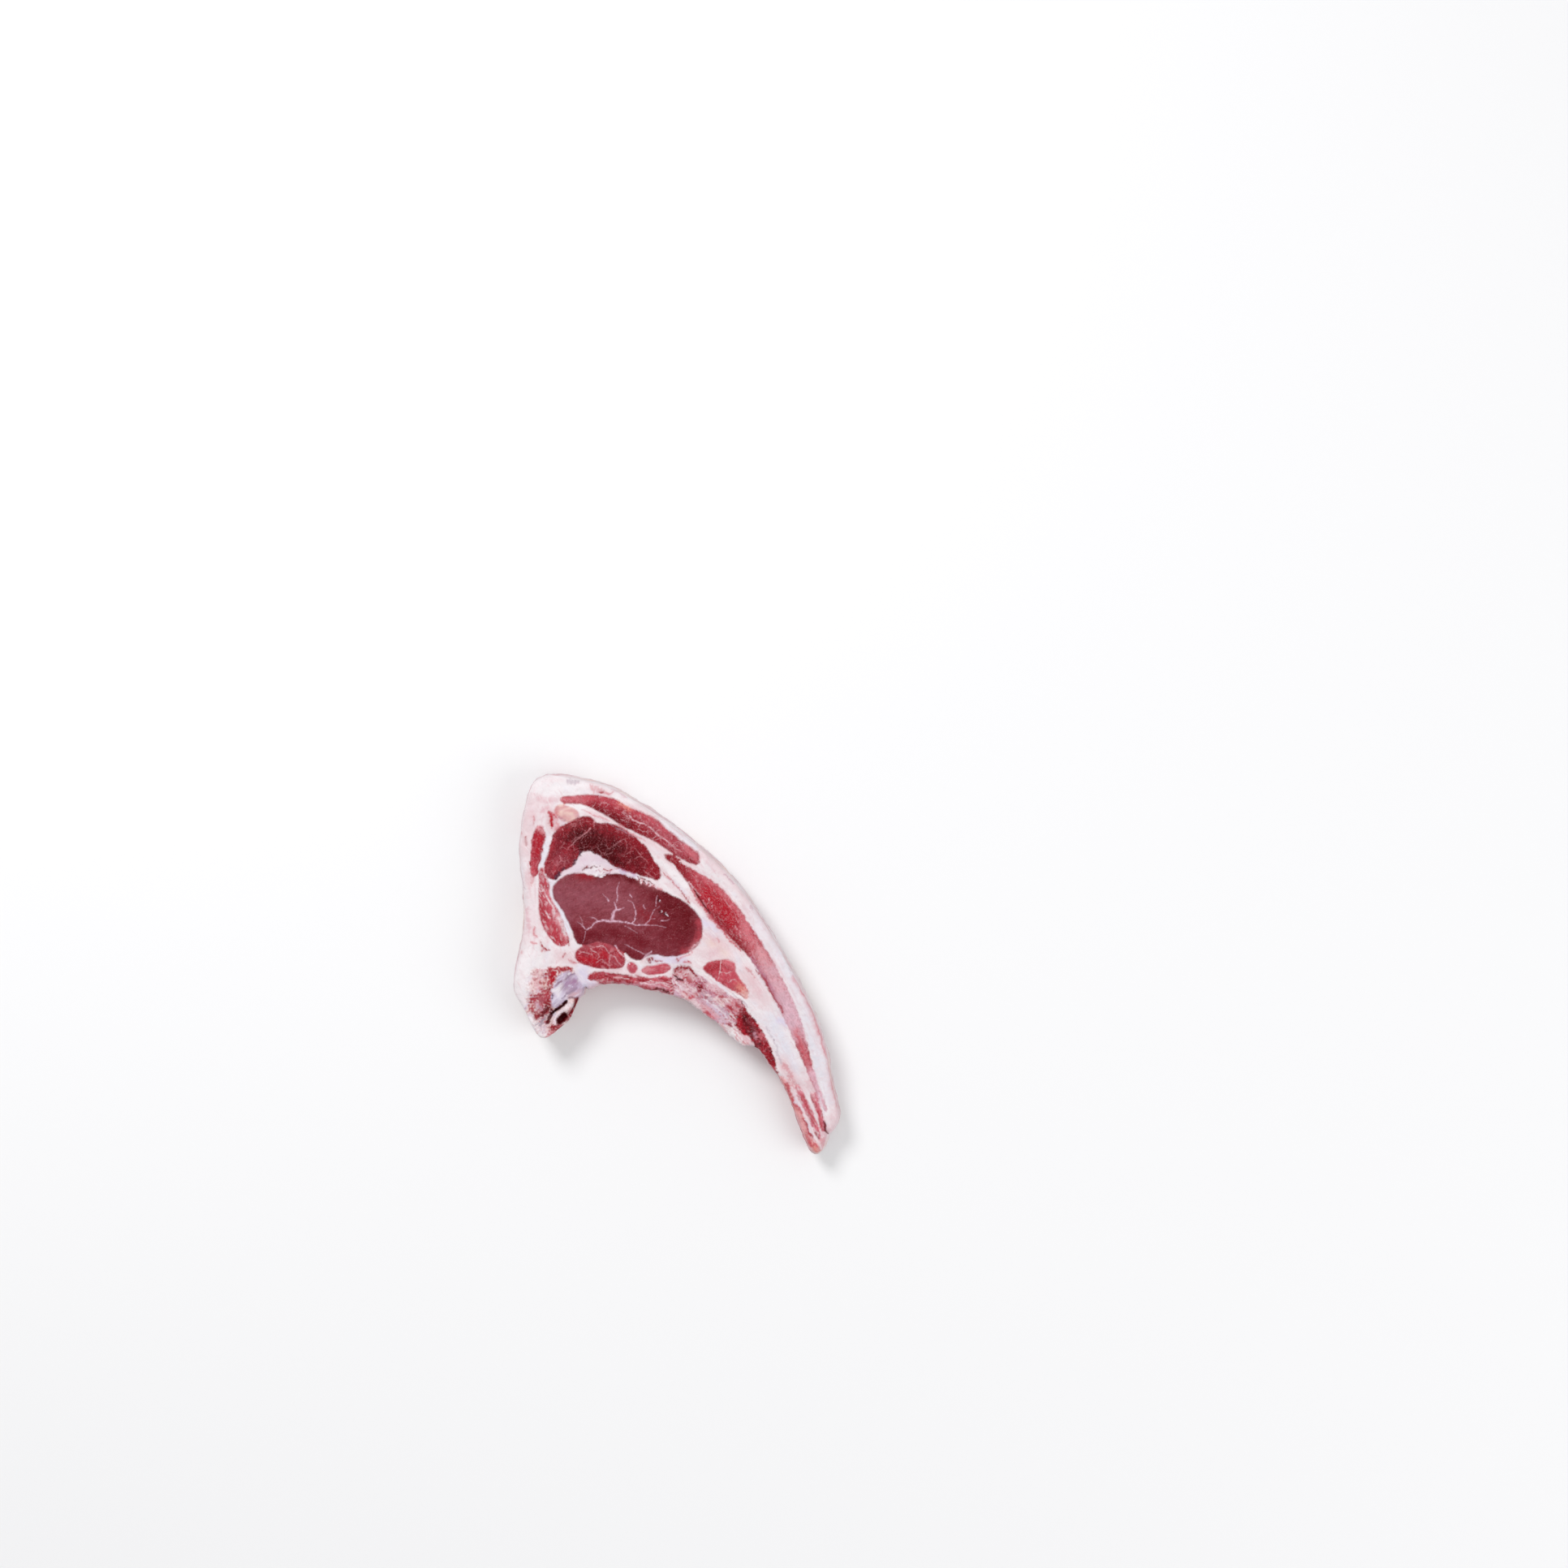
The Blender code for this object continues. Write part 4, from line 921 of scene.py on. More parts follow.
lineShape = {
    "step": 0.34,             # mm between the points of a line
    "smoothing": 3,
    "wander": 0.42,           # mm a vein strays from its points
    "crackWander": 0.24,      # mm, the same for a crack or a ridge
    "wanderLength": 2.4,      # mm
    "loosening": 5,           # how fast a line comes free of its ends
    "fullVein": 0.26,         # mm, the half width from which a vein is painted in full
    "veinEdge": 1.5,          # times its half width, where a vein's paint ends
    "veinUneven": (0.5, 1.1, 33),      # share, mm long, seed
    "crackUneven": (0.35, 1.6, 34),
    "tip": (6, 0.12),         # how fast a pointed stroke widens, and the square of its tip's width
}


def wanderingRoutes(lines, wander, firstSeed, seedStep):
    # Drawn lines made smooth and slightly crooked
    made = []
    for k, (first, second, points) in enumerate(lines):
        route = endsHeld(resample(points, lineShape["step"], False), lineShape["smoothing"])
        span = np.linspace(0.0, 1.0, len(route))
        hold = np.minimum(1.0, lineShape["loosening"] * np.minimum(span, 1 - span))
        for axis in (0, 1):
            shift = noiseOf(route, lineShape["wanderLength"], seed=firstSeed + seedStep * k + 11.3 * axis)
            route[:, axis] += wander * hold * shift
        made.append((first, second, route))
    return made


veins = wanderingRoutes([line for part in whiteLines.values() for line in part], lineShape["wander"], 0, 3.1)
openCracks = wanderingRoutes(cracks, lineShape["crackWander"], 50, 2.7)
ridges = wanderingRoutes(ridgeLines, lineShape["crackWander"], 70, 2.7)
sheet, faces, owner = buildSheet([route for _, _, route in veins + openCracks])
print("face sheet:", len(sheet), "points,", len(faces), "triangles")

relief = {
    "rimZone": 3.4,           # mm of the solids' rounded rim that isn't read
    "seamZone": 0.4,          # mm beside a seam that isn't read
    "gapPasses": 20,          # evening out of the heights in those two zones
    "smoothing": 46,          # evening out of all the heights
    "rimRadius": {"fat": 2.4, "bone": 1.0, "soft": 1.6},   # mm
    "radiusPasses": 14,       # smoothing of that radius along the rim
    "radiusUneven": (0.5, 6.0),        # share, and mm along the rim
    "lookInside": 0.5,        # mm inside the rim, where the piece at the rim is read
    "underRadius": 0.7,       # share of the upper rim's rounding
    "swell": (0.36, 0.9),     # mm a muscle bulges beside its seam, and over how many mm
    "groove": (0.10, 0.4),    # mm deep along a seam, and half its width
    "clear": (0.0, 1.1, 0.2, 2.2),     # mm beside a seam and the rim where waves begin and are whole
    "veinRise": 0.08,         # mm
    # Pits in the sawn bone: mm deep, mm long, the noise where they begin and are whole
    "spongePits": (0.30, 1.4, -0.05, -0.45),
    "sheetWave": (0.40, 19.0),         # mm, slow rise and fall of the whole face, and its length
    "tags": (0.6, 0.8),       # mm, the torn inner edge, and the share of its finer waves
    "tagLengths": (5.6, 1.7),          # mm along the rim
    "tagDepth": 1.3,          # mm in from the rim
    "tagsEnd": (-44, -34),    # the tail has none: they begin and are whole at these heights in the face
    "underside": (0.06, 0.06, 5.0),    # mm above the table, mm of its waves, mm long
}
# Waves in the height of the flesh: mm, mm long, seed
fleshWaves = {
    "fat": [(0.26, 3.4, 21), (0.104, 1.3, 22)],
    "lean": [(0.10, 2.6, 27), (0.05, 1.1, 23)],
    "vertebra": [(0.85, 4.2, 25), (0.3825, 1.9, 26)],
}
boneNodes = ["rib_bone", "vertebra", "rib_marrow"]
leanNodes = [name for name in pieceOrder if "muscle" in name or "strip" in name]
rimSteps = 1200
farAway = 1000.0              # stands for no line near by


def ownerMask(names):         # the points of the sheet that the named pieces touch
    touched = np.zeros(len(sheet), bool)
    touched[faces[np.isin(owner, [nodeNames.index(name) for name in names])].ravel()] = True
    return touched


def nearestOnRim(points):
    # Distance to the rim, the place on it, and how far round the rim that is, from 0 to 1
    count = len(fineOutline)
    index = nearestTo(pointTree(fineOutline), points)
    best, foot = np.full(len(points), farAway), np.zeros((len(points), 2))
    for shift in (-1, 0):
        a, b = fineOutline[(index + shift) % count], fineOutline[(index + shift + 1) % count]
        share = ((points - a) * (b - a)).sum(axis=1) / ((b - a) ** 2).sum(axis=1)
        place = a + np.clip(share, 0, 1)[:, None] * (b - a)
        distance = np.linalg.norm(points - place, axis=1)
        nearer = distance < best
        best[nearer], foot[nearer] = distance[nearer], place[nearer]
    return best, foot, index / count


def routeRatio(points, route, start, end, margin=4.0, pointed=False):
    # Distance to a line divided by its half width there, and that half width
    best, width = np.full(len(points), farAway), np.zeros(len(points))
    count = len(route) - 1
    low, high = route.min(axis=0) - margin, route.max(axis=0) + margin
    near = np.where(np.all((points > low) & (points < high), axis=1))[0]
    if not len(near):
        return best, width
    p = points[near]
    ratio, wide = np.full(len(near), farAway), np.zeros(len(near))
    for k in range(count):
        a, b = route[k], route[k + 1]
        share = np.clip(((p - a) @ (b - a)) / max((b - a) @ (b - a), 1e-9), 0, 1)
        distance = np.linalg.norm(p - (a + share[:, None] * (b - a)), axis=1)
        along = (k + share) / count
        half = start + (end - start) * along
        if pointed:
            opening, tip = lineShape["tip"]
            half = half * np.sqrt(np.clip(opening * np.minimum(along, 1 - along), tip, 1))
        wide = np.where(distance / half < ratio, half, wide)
        ratio = np.minimum(ratio, distance / half)
    best[near], width[near] = ratio, wide
    return best, width


def spread(values, passes, fixed=None):
    # Values evened out over the sheet, while the fixed points keep theirs
    count = len(values)
    a, b = sheetEdges.T
    degree = np.maximum(np.bincount(sheetEdges.ravel(), minlength=count), 1)
    for _ in range(passes):
        around = (np.bincount(a, values[b], count) + np.bincount(b, values[a], count)) / degree
        evened = 0.5 * values + 0.5 * around
        if fixed is not None:
            evened[fixed] = values[fixed]
        values = evened
    return values


def smoothStep(values, low, high):
    share = np.clip((values - low) / (high - low), 0, 1)
    return share * share * (3 - 2 * share)


def solidHeights(points):     # of the solids at the points, where there is one
    work = mergedCopy(sorted(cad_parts))
    tree = BVHTree.FromBMesh(work)
    work.free()
    heights = np.full(len(points), np.nan)
    above, down = 0.1, Vector((0, 0, -1))
    for index, (x, y) in enumerate(points):
        place = tree.ray_cast(Vector((x * mm, y * mm, above)), down)[0]
        if place is not None:
            heights[index] = place.z / mm
    return heights


sides = edgeSides(faces)
sheetEdges = np.array(sorted(sides))
rimDistance, rimFoot, rimAlong = nearestOnRim(sheet)
rimStepOf = (rimAlong * rimSteps).astype(int) % rimSteps
seamEdges = [edge for edge, pair in sides.items() if len(pair) == 2 and owner[pair[0]] != owner[pair[1]]]
seamSamples = np.vstack([sheet[a] + (sheet[b] - sheet[a]) * share
                         for a, b in seamEdges for share in (0, 0.25, 0.5, 0.75)])
seamDistance = distancesTo(pointTree(seamSamples), sheet)

read = solidHeights(sheet)
known = ~np.isnan(read) & (rimDistance > relief["rimZone"]) & (seamDistance > relief["seamZone"])
baseHeight = np.where(known, read, read[known][nearestTo(pointTree(sheet[known]), sheet)])
baseHeight = spread(spread(baseHeight, relief["gapPasses"], known), relief["smoothing"])
print("heights read: from", round(baseHeight.min(), 1), "to", round(baseHeight.max(), 1), "mm")

# Rounding of the rim, by what lies at the edge
rimLine = inSteps(closedUp(outline), rimSteps)[:-1]
inward = -outwardNormals(rimLine)
rimOwner = owner[nearestTo(pointTree(centresOf(sheet, faces)), rimLine + relief["lookInside"] * inward)]
atFat, atBone = rimOwner == fatIndex, np.isin(rimOwner, [pieceOrder.index(name) for name in boneNodes])
radii = relief["rimRadius"]
rimRadius = softened(np.select([atFat, atBone], [radii["fat"], radii["bone"]], radii["soft"]),
                     relief["radiusPasses"])
uneven, length = relief["radiusUneven"]
rimRadius *= 1 + uneven * noiseOf(rimLine, length, seed=91)
radius = rimRadius[rimStepOf]


def rounded(share):
    # Places and drops the points within the rim's radius on a quarter circle
    r = radius * share
    inside = rimDistance < r
    angle = (1 - np.minimum(rimDistance / r, 1)) * math.pi / 2
    place = sheet.copy()
    way = (sheet - rimFoot) / np.maximum(rimDistance, 1e-6)[:, None]
    along = r * (1 - np.sin(angle))
    place[inside] = rimFoot[inside] + way[inside] * along[inside, None]
    return place, r * (1 - np.cos(angle))


# The side of the chop: fat and its skin outside, the lining of the ribs inside, bone below
wallShape = {
    "rows": 39,               # of points down the side
    "least": 0.12,            # mm the side always stands clear of the seams' ends
    "bulge": (0.9, 0.5),      # mm the outer and the inner side belly out half way up
    "undercut": 1.9,          # mm the inner side leans in on its way down
    "undercutReach": 9.0,     # mm in from the rim
    "thickness": 20.0,        # mm, at which the heights below hold
    "ribRise": 0.8,           # mm the rib stands out of the inner side
    "ribHeight": 13.6,        # mm up from the table
    "ribHalf": 4.2,           # mm, over which it fades up and down
    "bandHeight": 8.4,        # mm, where the rib's lining ends and the rib meat begins
    "bandWander": (3.0, 19.0),         # mm up and down, and mm along
    "bandGroove": (0.4, 0.9),          # mm deep, and half its width
    "innerFrom": (-38.4, -12.6), "innerTo": (54.6, -74.4),
    "boneFrom": (-62.6, -13.0),
    "blending": 40,           # smoothing passes where one kind of side passes into another
    "finer": (0.45, 2.3),     # strength and number of the finer waves within each wave
}
# Waves of the side: mm out, (mm along, mm up), seed
sideWaves = [(0.5, (5.2, 5.2), 3), (0.36, (15.0, 2.4), 5), (0.14, (1.4, 1.4), 8)]
boneWave = (0.7, (2.6, 2.6), 14)


def noiseAlong(along, height, lengths, seed):     # the same again after one way round the rim
    strength, number = wallShape["finer"]
    angle = along * 2 * math.pi / rimLength
    ring = rimLength / (2 * math.pi * lengths[0])
    places = np.column_stack([ring * np.cos(angle), ring * np.sin(angle), height / lengths[1]])
    offset = Vector((seed, seed * 0.7, seed * 1.3))
    return np.array([noise.noise(p) + strength * noise.noise(number * p)
                     for p in (Vector(place) + offset for place in places)])


def lineNoise(along, length, seed):
    return noiseOf(np.column_stack([along, 0 * along]), length, seed)


def rimStep(place):
    return int(np.argmin(np.linalg.norm(rimLine - np.array(place), axis=1)))


def rimShare(start, end):     # 1 on the stretch of the rim from start to end, softened
    first, last = rimStep(start), rimStep(end)
    inside = np.zeros(rimSteps)
    inside[np.arange(first, first + (last - first) % rimSteps + 1) % rimSteps] = 1
    return softened(inside, wallShape["blending"])


def carved(lines, uneven=1.0):     # the deepest or highest line at each point, with steep sides
    carving = np.zeros(len(sheet))
    for half, far, route in lines:
        ratio = routeRatio(sheet, route, half, half)[0] * uneven
        carving = np.maximum(carving, far * np.exp(-ratio ** 4))
    return carving


innerRim = rimShare(wallShape["innerFrom"], wallShape["innerTo"])
boneRim = rimShare(wallShape["boneFrom"], wallShape["innerFrom"])
leaning = np.clip(innerRim + boneRim, 0, 1)[rimStepOf]
flesh = {"fat": ownerMask([fatNode]), "lean": ownerMask(leanNodes), "vertebra": ownerMask(["vertebra"])}
veinRatio, veinPaint = np.full(len(sheet), farAway), np.zeros(len(sheet))
veinUneven, crackUneven = (1 + share * noiseOf(sheet, length, seed=seed)
                           for share, length, seed in (lineShape["veinUneven"], lineShape["crackUneven"]))
for start, end, route in veins:
    ratio, half = routeRatio(sheet, route, start, end)
    veinRatio = np.minimum(veinRatio, ratio)
    strength = np.minimum(1.0, half / lineShape["fullVein"])
    veinPaint = np.maximum(veinPaint, strength * np.clip(lineShape["veinEdge"] - ratio * veinUneven, 0, 1))
crackDepth = carved(openCracks, crackUneven)

wave, length = relief["sheetWave"]
topRelief = wave * noiseOf(sheet, length, seed=5)
swell, reach = relief["swell"]
topRelief += flesh["lean"] * swell * (1 - np.exp(-seamDistance / reach))
groove, half = relief["groove"]
seamGroove = groove * np.exp(-(seamDistance / half) ** 2)
topRelief -= flesh["lean"] * seamGroove
topRelief += relief["veinRise"] * np.exp(-veinRatio ** 2)
atSeam, offSeam, atRim, offRim = relief["clear"]
clear = smoothStep(seamDistance, atSeam, offSeam) * smoothStep(rimDistance, atRim, offRim)
for kind, waves in fleshWaves.items():
    for height, length, seed in waves:
        topRelief += flesh[kind] * clear * height * noiseOf(sheet, length, seed=seed)
depth, length, begun, whole = relief["spongePits"]
topRelief -= ownerMask(boneNodes) * clear * depth * smoothStep(noiseOf(sheet, length, seed=24), begun, whole)
topRelief += carved(ridges) - crackDepth

outward = -inward[rimStepOf]
coarse, fine = (lineNoise(rimAlong * rimLength, length, 27.7) for length in relief["tagLengths"])
tags, finer = relief["tags"]
tags = tags * (coarse + finer * fine) * innerRim[rimStepOf] * smoothStep(sheet[:, 1], *relief["tagsEnd"])
topPlace, topDrop = rounded(1.0)
topPlace += outward * (tags * np.exp(-(rimDistance / relief["tagDepth"]) ** 2))[:, None]
underPlace, underDrop = rounded(relief["underRadius"])
leanIn = wallShape["undercut"] * leaning * np.exp(-(rimDistance / wallShape["undercutReach"]) ** 2)
underPlace -= outward * leanIn[:, None]
lift, wave, length = relief["underside"]
topHeight = baseHeight + topRelief - topDrop
underHeight = underDrop + lift + wave * noiseOf(sheet, length, seed=31) + seamGroove
topPoints, underPoints = np.column_stack([topPlace, topHeight]), np.column_stack([underPlace, underHeight])
print("face height: up to", round(topHeight.max(), 2), "mm")

onRim = np.array(sorted({v for edge, pair in sides.items() if len(pair) == 1 for v in edge}))
wallFirst = {v: k for k, v in enumerate(onRim.tolist())}
wallRows = wallShape["rows"]
print("side:", len(onRim), "columns of", wallRows)


def downTheSide(values):      # given for the rim's points, repeated down their columns
    return np.repeat(values, wallRows, axis=0)


def wallPoints():
    # Columns of points down the side of the chop, one under each point of the rim
    along = downTheSide(rimAlong[onRim] * rimLength)
    level = np.tile(np.linspace(0, 1, wallRows + 2)[1:-1], len(onRim))
    top, low = downTheSide(topHeight[onRim]), downTheSide(underHeight[onRim])
    height = top + (low - top) * level
    inner, bony = (downTheSide(share[rimStepOf[onRim]]) for share in (innerRim, boneRim))
    lean = downTheSide(leaning[onRim])
    outerBulge, innerBulge = wallShape["bulge"]
    push = outerBulge + (innerBulge - outerBulge) * lean
    for far, lengths, seed in sideWaves:
        push += far * noiseAlong(along, height, lengths, seed)
    size = top / wallShape["thickness"]
    wander, length = wallShape["bandWander"]
    band = wallShape["bandHeight"] * size + wander * lineNoise(along, length, 12)
    fromRib = (height - wallShape["ribHeight"] * size) / wallShape["ribHalf"]
    depth, half = wallShape["bandGroove"]
    push += inner * wallShape["ribRise"] * np.exp(-fromRib ** 2)
    push -= inner * depth * np.exp(-((height - band) / half) ** 2)
    far, lengths, seed = boneWave
    push += bony * far * noiseAlong(along, height, lengths, seed)
    push = np.maximum(push, wallShape["least"]) * (1 - (2 * level - 1) ** 2)
    push += downTheSide(tags[onRim]) * (1 - level) - wallShape["undercut"] * lean * level
    places = downTheSide(sheet[onRim]) + downTheSide(outward[onRim]) * push[:, None]
    points = np.column_stack([places, height]).reshape(len(onRim), wallRows, 3)
    return points, along, level, inner, bony, band, top


wallPlaces, wallAlong, wallDepth, wallInner, wallBony, wallBand, wallTop = wallPoints()

painting = {
    "level": 0.93,            # the tone's light to the colour a shader needs in this studio
    "bends": [(0.75, 2.8), (0.3, 0.9)],    # mm a wash strays, mm of its waves
    "cloud": (0.55, 3.2),     # unevenness of a wash, and its length in mm
    "grit": 0.75,             # mm, length of the ragged edges
    "plainRagged": (0.2, 0.25),        # raggedness of a wash and a seam where no other is given
    "step": (0.8, 0.4),       # mm between the points of a wash and of a stroke
    "washReach": 3,           # times its radius, as far as a wash is worked out
    "strokeReach": 3,         # mm, the same for a stroke
    "raggedFrom": 0.1,        # strength from which a wash is ragged
    "strokeEdge": (1.4, 1.1), # times its half width where a stroke ends, and how ragged that is
    "halo": (0.30, 2.6),      # strength and width of the soft stain round a red stroke
    "stains": ["blush", "pink", "palePink", "rose", "brickPink", "brick", "crimson", "garnet"],
    "veins": (0.9, 1.1, 0.9), # strength, and how much grit and cloud change it
    # painted shade: the cracks' dark red grows darker with their depth
    "cracks": [("wine", 0.9, 0.15, 0.5), ("oxblood", 1.0, 0.7, 1.5)],    # mm deep: begun, whole
    "bleed": 1.3,             # mm beside a seam in which two tones can mix
    "bleedSoftness": 0.28,    # mm
    "bleedWaves": [(0.6, 0.7, 47), (0.9, 2.1, 48)],    # share, mm long, seed
    "neighbours": 24,         # points in which a seam's other side is looked for
}
# How far the tones of two pieces tear into each other, in mm
raggedness = {"vertebra": 1.0, "rib_bone": 1.0, "rib_marrow": 0.7, "inner_strip": 0.7,
              "tail_strip_middle": 0.5, "tail_strip_inner": 0.4, "tail_strip_outer": 0.5,
              "back_oval_muscle": 0.7, "edge_membrane": 0.9, "cap_muscle": 0.55,
              "flank_muscle": 0.45, "eye_muscle": 0.28, "rib_muscle": 0.5}
# Streaks and blots: tone, mm along, mm across, degrees or None for along the rim,
# the noise where it starts and is whole, strength
streaks = {
    "fat_body": [("pinkFat", 15, 2.2, None, -0.1, 0.35, 0.5), ("whiteFat", 9, 2.6, None, 0.05, 0.4, 0.6),
                 ("blush", 8, 0.9, None, 0.22, 0.5, 0.4), ("blueFat", 12, 3.0, None, 0.1, 0.45, 0.6),
                 ("blush", 1.6, 1.2, 0, 0.30, 0.5, 0.3)],
    "eye_muscle": [("oldRose", 3.0, 1.6, 25, 0.05, 0.5, 0.45), ("maroon", 3.4, 1.8, 25, 0.1, 0.5, 0.45),
                   ("oldRose", 1.0, 0.6, 60, 0.15, 0.5, 0.4)],
    "cap_muscle": [("brick", 2.6, 1.4, 50, 0.1, 0.45, 0.5), ("wine", 3.0, 1.6, 50, 0.05, 0.4, 0.5),
                   ("dustyRose", 1.3, 0.8, 30, 0.22, 0.5, 0.45)],
    "shoulder_muscle": [("garnet", 3.2, 1.4, -35, 0.0, 0.4, 0.6),
                        ("palePink", 1.5, 0.8, -35, 0.18, 0.45, 0.45)],
    "flank_muscle": [("palePink", 1.7, 0.7, -56, 0.12, 0.42, 0.5), ("brick", 2.6, 0.8, -56, 0.1, 0.4, 0.45),
                     ("blush", 1.1, 0.7, -70, 0.25, 0.45, 0.6)],
    "back_oval_muscle": [("palePink", 1.2, 0.8, 80, 0.1, 0.4, 0.6), ("garnet", 2.2, 1.2, 80, 0.05, 0.4, 0.5)],
    "spine_muscle": [("brick", 3.2, 1.0, 100, 0.0, 0.35, 0.6), ("blush", 2.4, 0.8, 110, 0.1, 0.4, 0.7),
                     ("pinkFat", 2.0, 0.5, 125, 0.16, 0.4, 0.7)],
    "under_muscle": [("palePink", 2.6, 0.9, -30, 0.05, 0.4, 0.55),
                     ("crimson", 2.4, 1.4, -20, 0.05, 0.4, 0.6)],
    "small_round_muscle": [("palePink", 1.8, 0.9, 60, 0.0, 0.4, 0.5)],
    "under_strip_muscle": [("palePink", 2.6, 0.8, 8, 0.0, 0.4, 0.5), ("rose", 2.0, 0.9, 8, 0.0, 0.4, 0.5)],
    "rib_muscle": [("palePink", 2.4, 0.8, -50, 0.1, 0.4, 0.5), ("brick", 2.6, 1.4, -50, 0.1, 0.4, 0.5)],
    "inner_strip": [("pinkFat", 7, 0.7, None, 0.0, 0.3, 0.75), ("brick", 5, 0.55, None, 0.04, 0.3, 0.9),
                    ("blush", 3, 0.8, None, 0.15, 0.4, 0.5), ("garnet", 6, 0.5, None, 0.12, 0.34, 0.9),
                    ("whiteFat", 5, 0.5, None, 0.26, 0.45, 0.5)],
    "rib_bone": [("pinkFat", 5, 1.2, -38, 0.0, 0.35, 0.8), ("brickPink", 4.4, 0.9, -38, 0.12, 0.4, 0.75),
                 ("whiteFat", 2.2, 0.8, -30, 0.2, 0.4, 0.6), ("brick", 2.0, 0.9, -50, 0.24, 0.42, 0.85),
                 ("lilac", 5, 1.6, -38, 0.2, 0.45, 0.4)],
    "rib_marrow": [("oxblood", 2.0, 1.2, -50, 0.0, 0.35, 0.8), ("palePink", 0.9, 0.8, 0, 0.24, 0.5, 0.6),
                   ("crimson", 1.8, 0.9, -50, 0.1, 0.4, 0.7)],
    "edge_membrane": [("palePink", 5, 0.6, -35, 0.12, 0.4, 0.6), ("whiteFat", 6, 0.8, -35, 0.0, 0.35, 0.8)],
    "cartilage": [("whiteFat", 5, 1.1, 48, 0.15, 0.45, 0.6), ("lilacGreyAndShade", 5, 0.9, 48, 0.1, 0.45, 0.6)],
    "neck_ligament": [("cream", 3, 1.5, 20, 0.1, 0.4, 0.4)],
    "vertebra": [("brickPink", 1.7, 1.2, 60, 0.16, 0.42, 0.75), ("whiteFat", 2.6, 1.6, 40, 0.02, 0.4, 0.6),
                 ("brick", 1.0, 0.8, 0, 0.3, 0.46, 0.7), ("paleLilac", 3.4, 2.0, 50, 0.1, 0.45, 0.6)],
    "tail_strip_inner": [("rose", 5, 0.5, -62, 0.16, 0.42, 0.7), ("pinkFat", 6, 0.6, -62, 0.05, 0.34, 0.8),
                         ("rose", 2.0, 0.8, -64, 0.15, 0.45, 0.6), ("blush", 2.4, 0.7, -60, 0.1, 0.4, 0.6)],
    "tail_strip_middle": [("brick", 2.4, 0.7, -64, 0.2, 0.45, 0.5),
                          ("pinkFat", 1.8, 0.6, -64, 0.0, 0.34, 0.9)],
    "tail_strip_outer": [("brick", 2.4, 0.7, -68, 0.06, 0.36, 0.7),
                         ("pinkFat", 1.8, 0.6, -68, 0.08, 0.36, 0.7)],
}
veinTones = {"eye_muscle": ((216, 176, 194), 0.95), "cap_muscle": ("palePink", 0.75),
             "shoulder_muscle": ("blush", 0.85), "under_muscle": ("blush", 0.8),
             "flank_muscle": ("blush", 0.9), "others": ("pinkFat", 0.9)}
# The band of the rib bone without pores: its line, half the width at each end, the margin in mm
smoothBand = ((8.6, -12.8, 12.6, -15.6, 17, -19, 21, -22.8), 1.9, 1.5, 6.0)
bandStrength = 0.75


def toLight(tone):            # from 0 to 255 as seen to the colour a shader needs
    share = np.array(tones[tone] if isinstance(tone, str) else tone) / 255
    light = np.where(share <= 0.04045, share / 12.92, ((share + 0.055) / 1.055) ** 2.4)
    return painting["level"] * light


def blended(under, over, share):
    return under + (over - under) * share[:, None]


def mixed(colour, tone, amount):
    return blended(colour, toLight(tone), np.clip(amount, 0, 1))


bentSheet = sheet.copy()
for turn, (far, length) in enumerate(painting["bends"]):
    bentSheet[:, 0] += far * noiseOf(sheet, length, seed=41 + turn)
    bentSheet[:, 1] += far * noiseOf(sheet, length, seed=51 + turn)
share, length = painting["cloud"]
cloud = share * noiseOf(sheet, length, seed=45)
grit = noiseOf(sheet, painting["grit"], seed=46)
washStep, strokeStep = painting["step"]
washReach, strokeReach = painting["washReach"], painting["strokeReach"]
bandLine, bandStart, bandEnd, bandMargin = smoothBand
bandRatio = routeRatio(sheet, resample(bandLine, washStep, False), bandStart, bandEnd, bandMargin)[0]


def streakNoise(used, along, across, angle, seed):
    if angle is None:         # along the rim of the chop
        run, depth = rimAlong[used] * rimLength, rimDistance[used]
    else:
        turn = math.radians(angle)
        x, y = bentSheet[used].T
        run = x * math.cos(turn) + y * math.sin(turn)
        depth = y * math.cos(turn) - x * math.sin(turn)
    return noiseOf(np.column_stack([run / along, depth / across]), 1.0, seed)


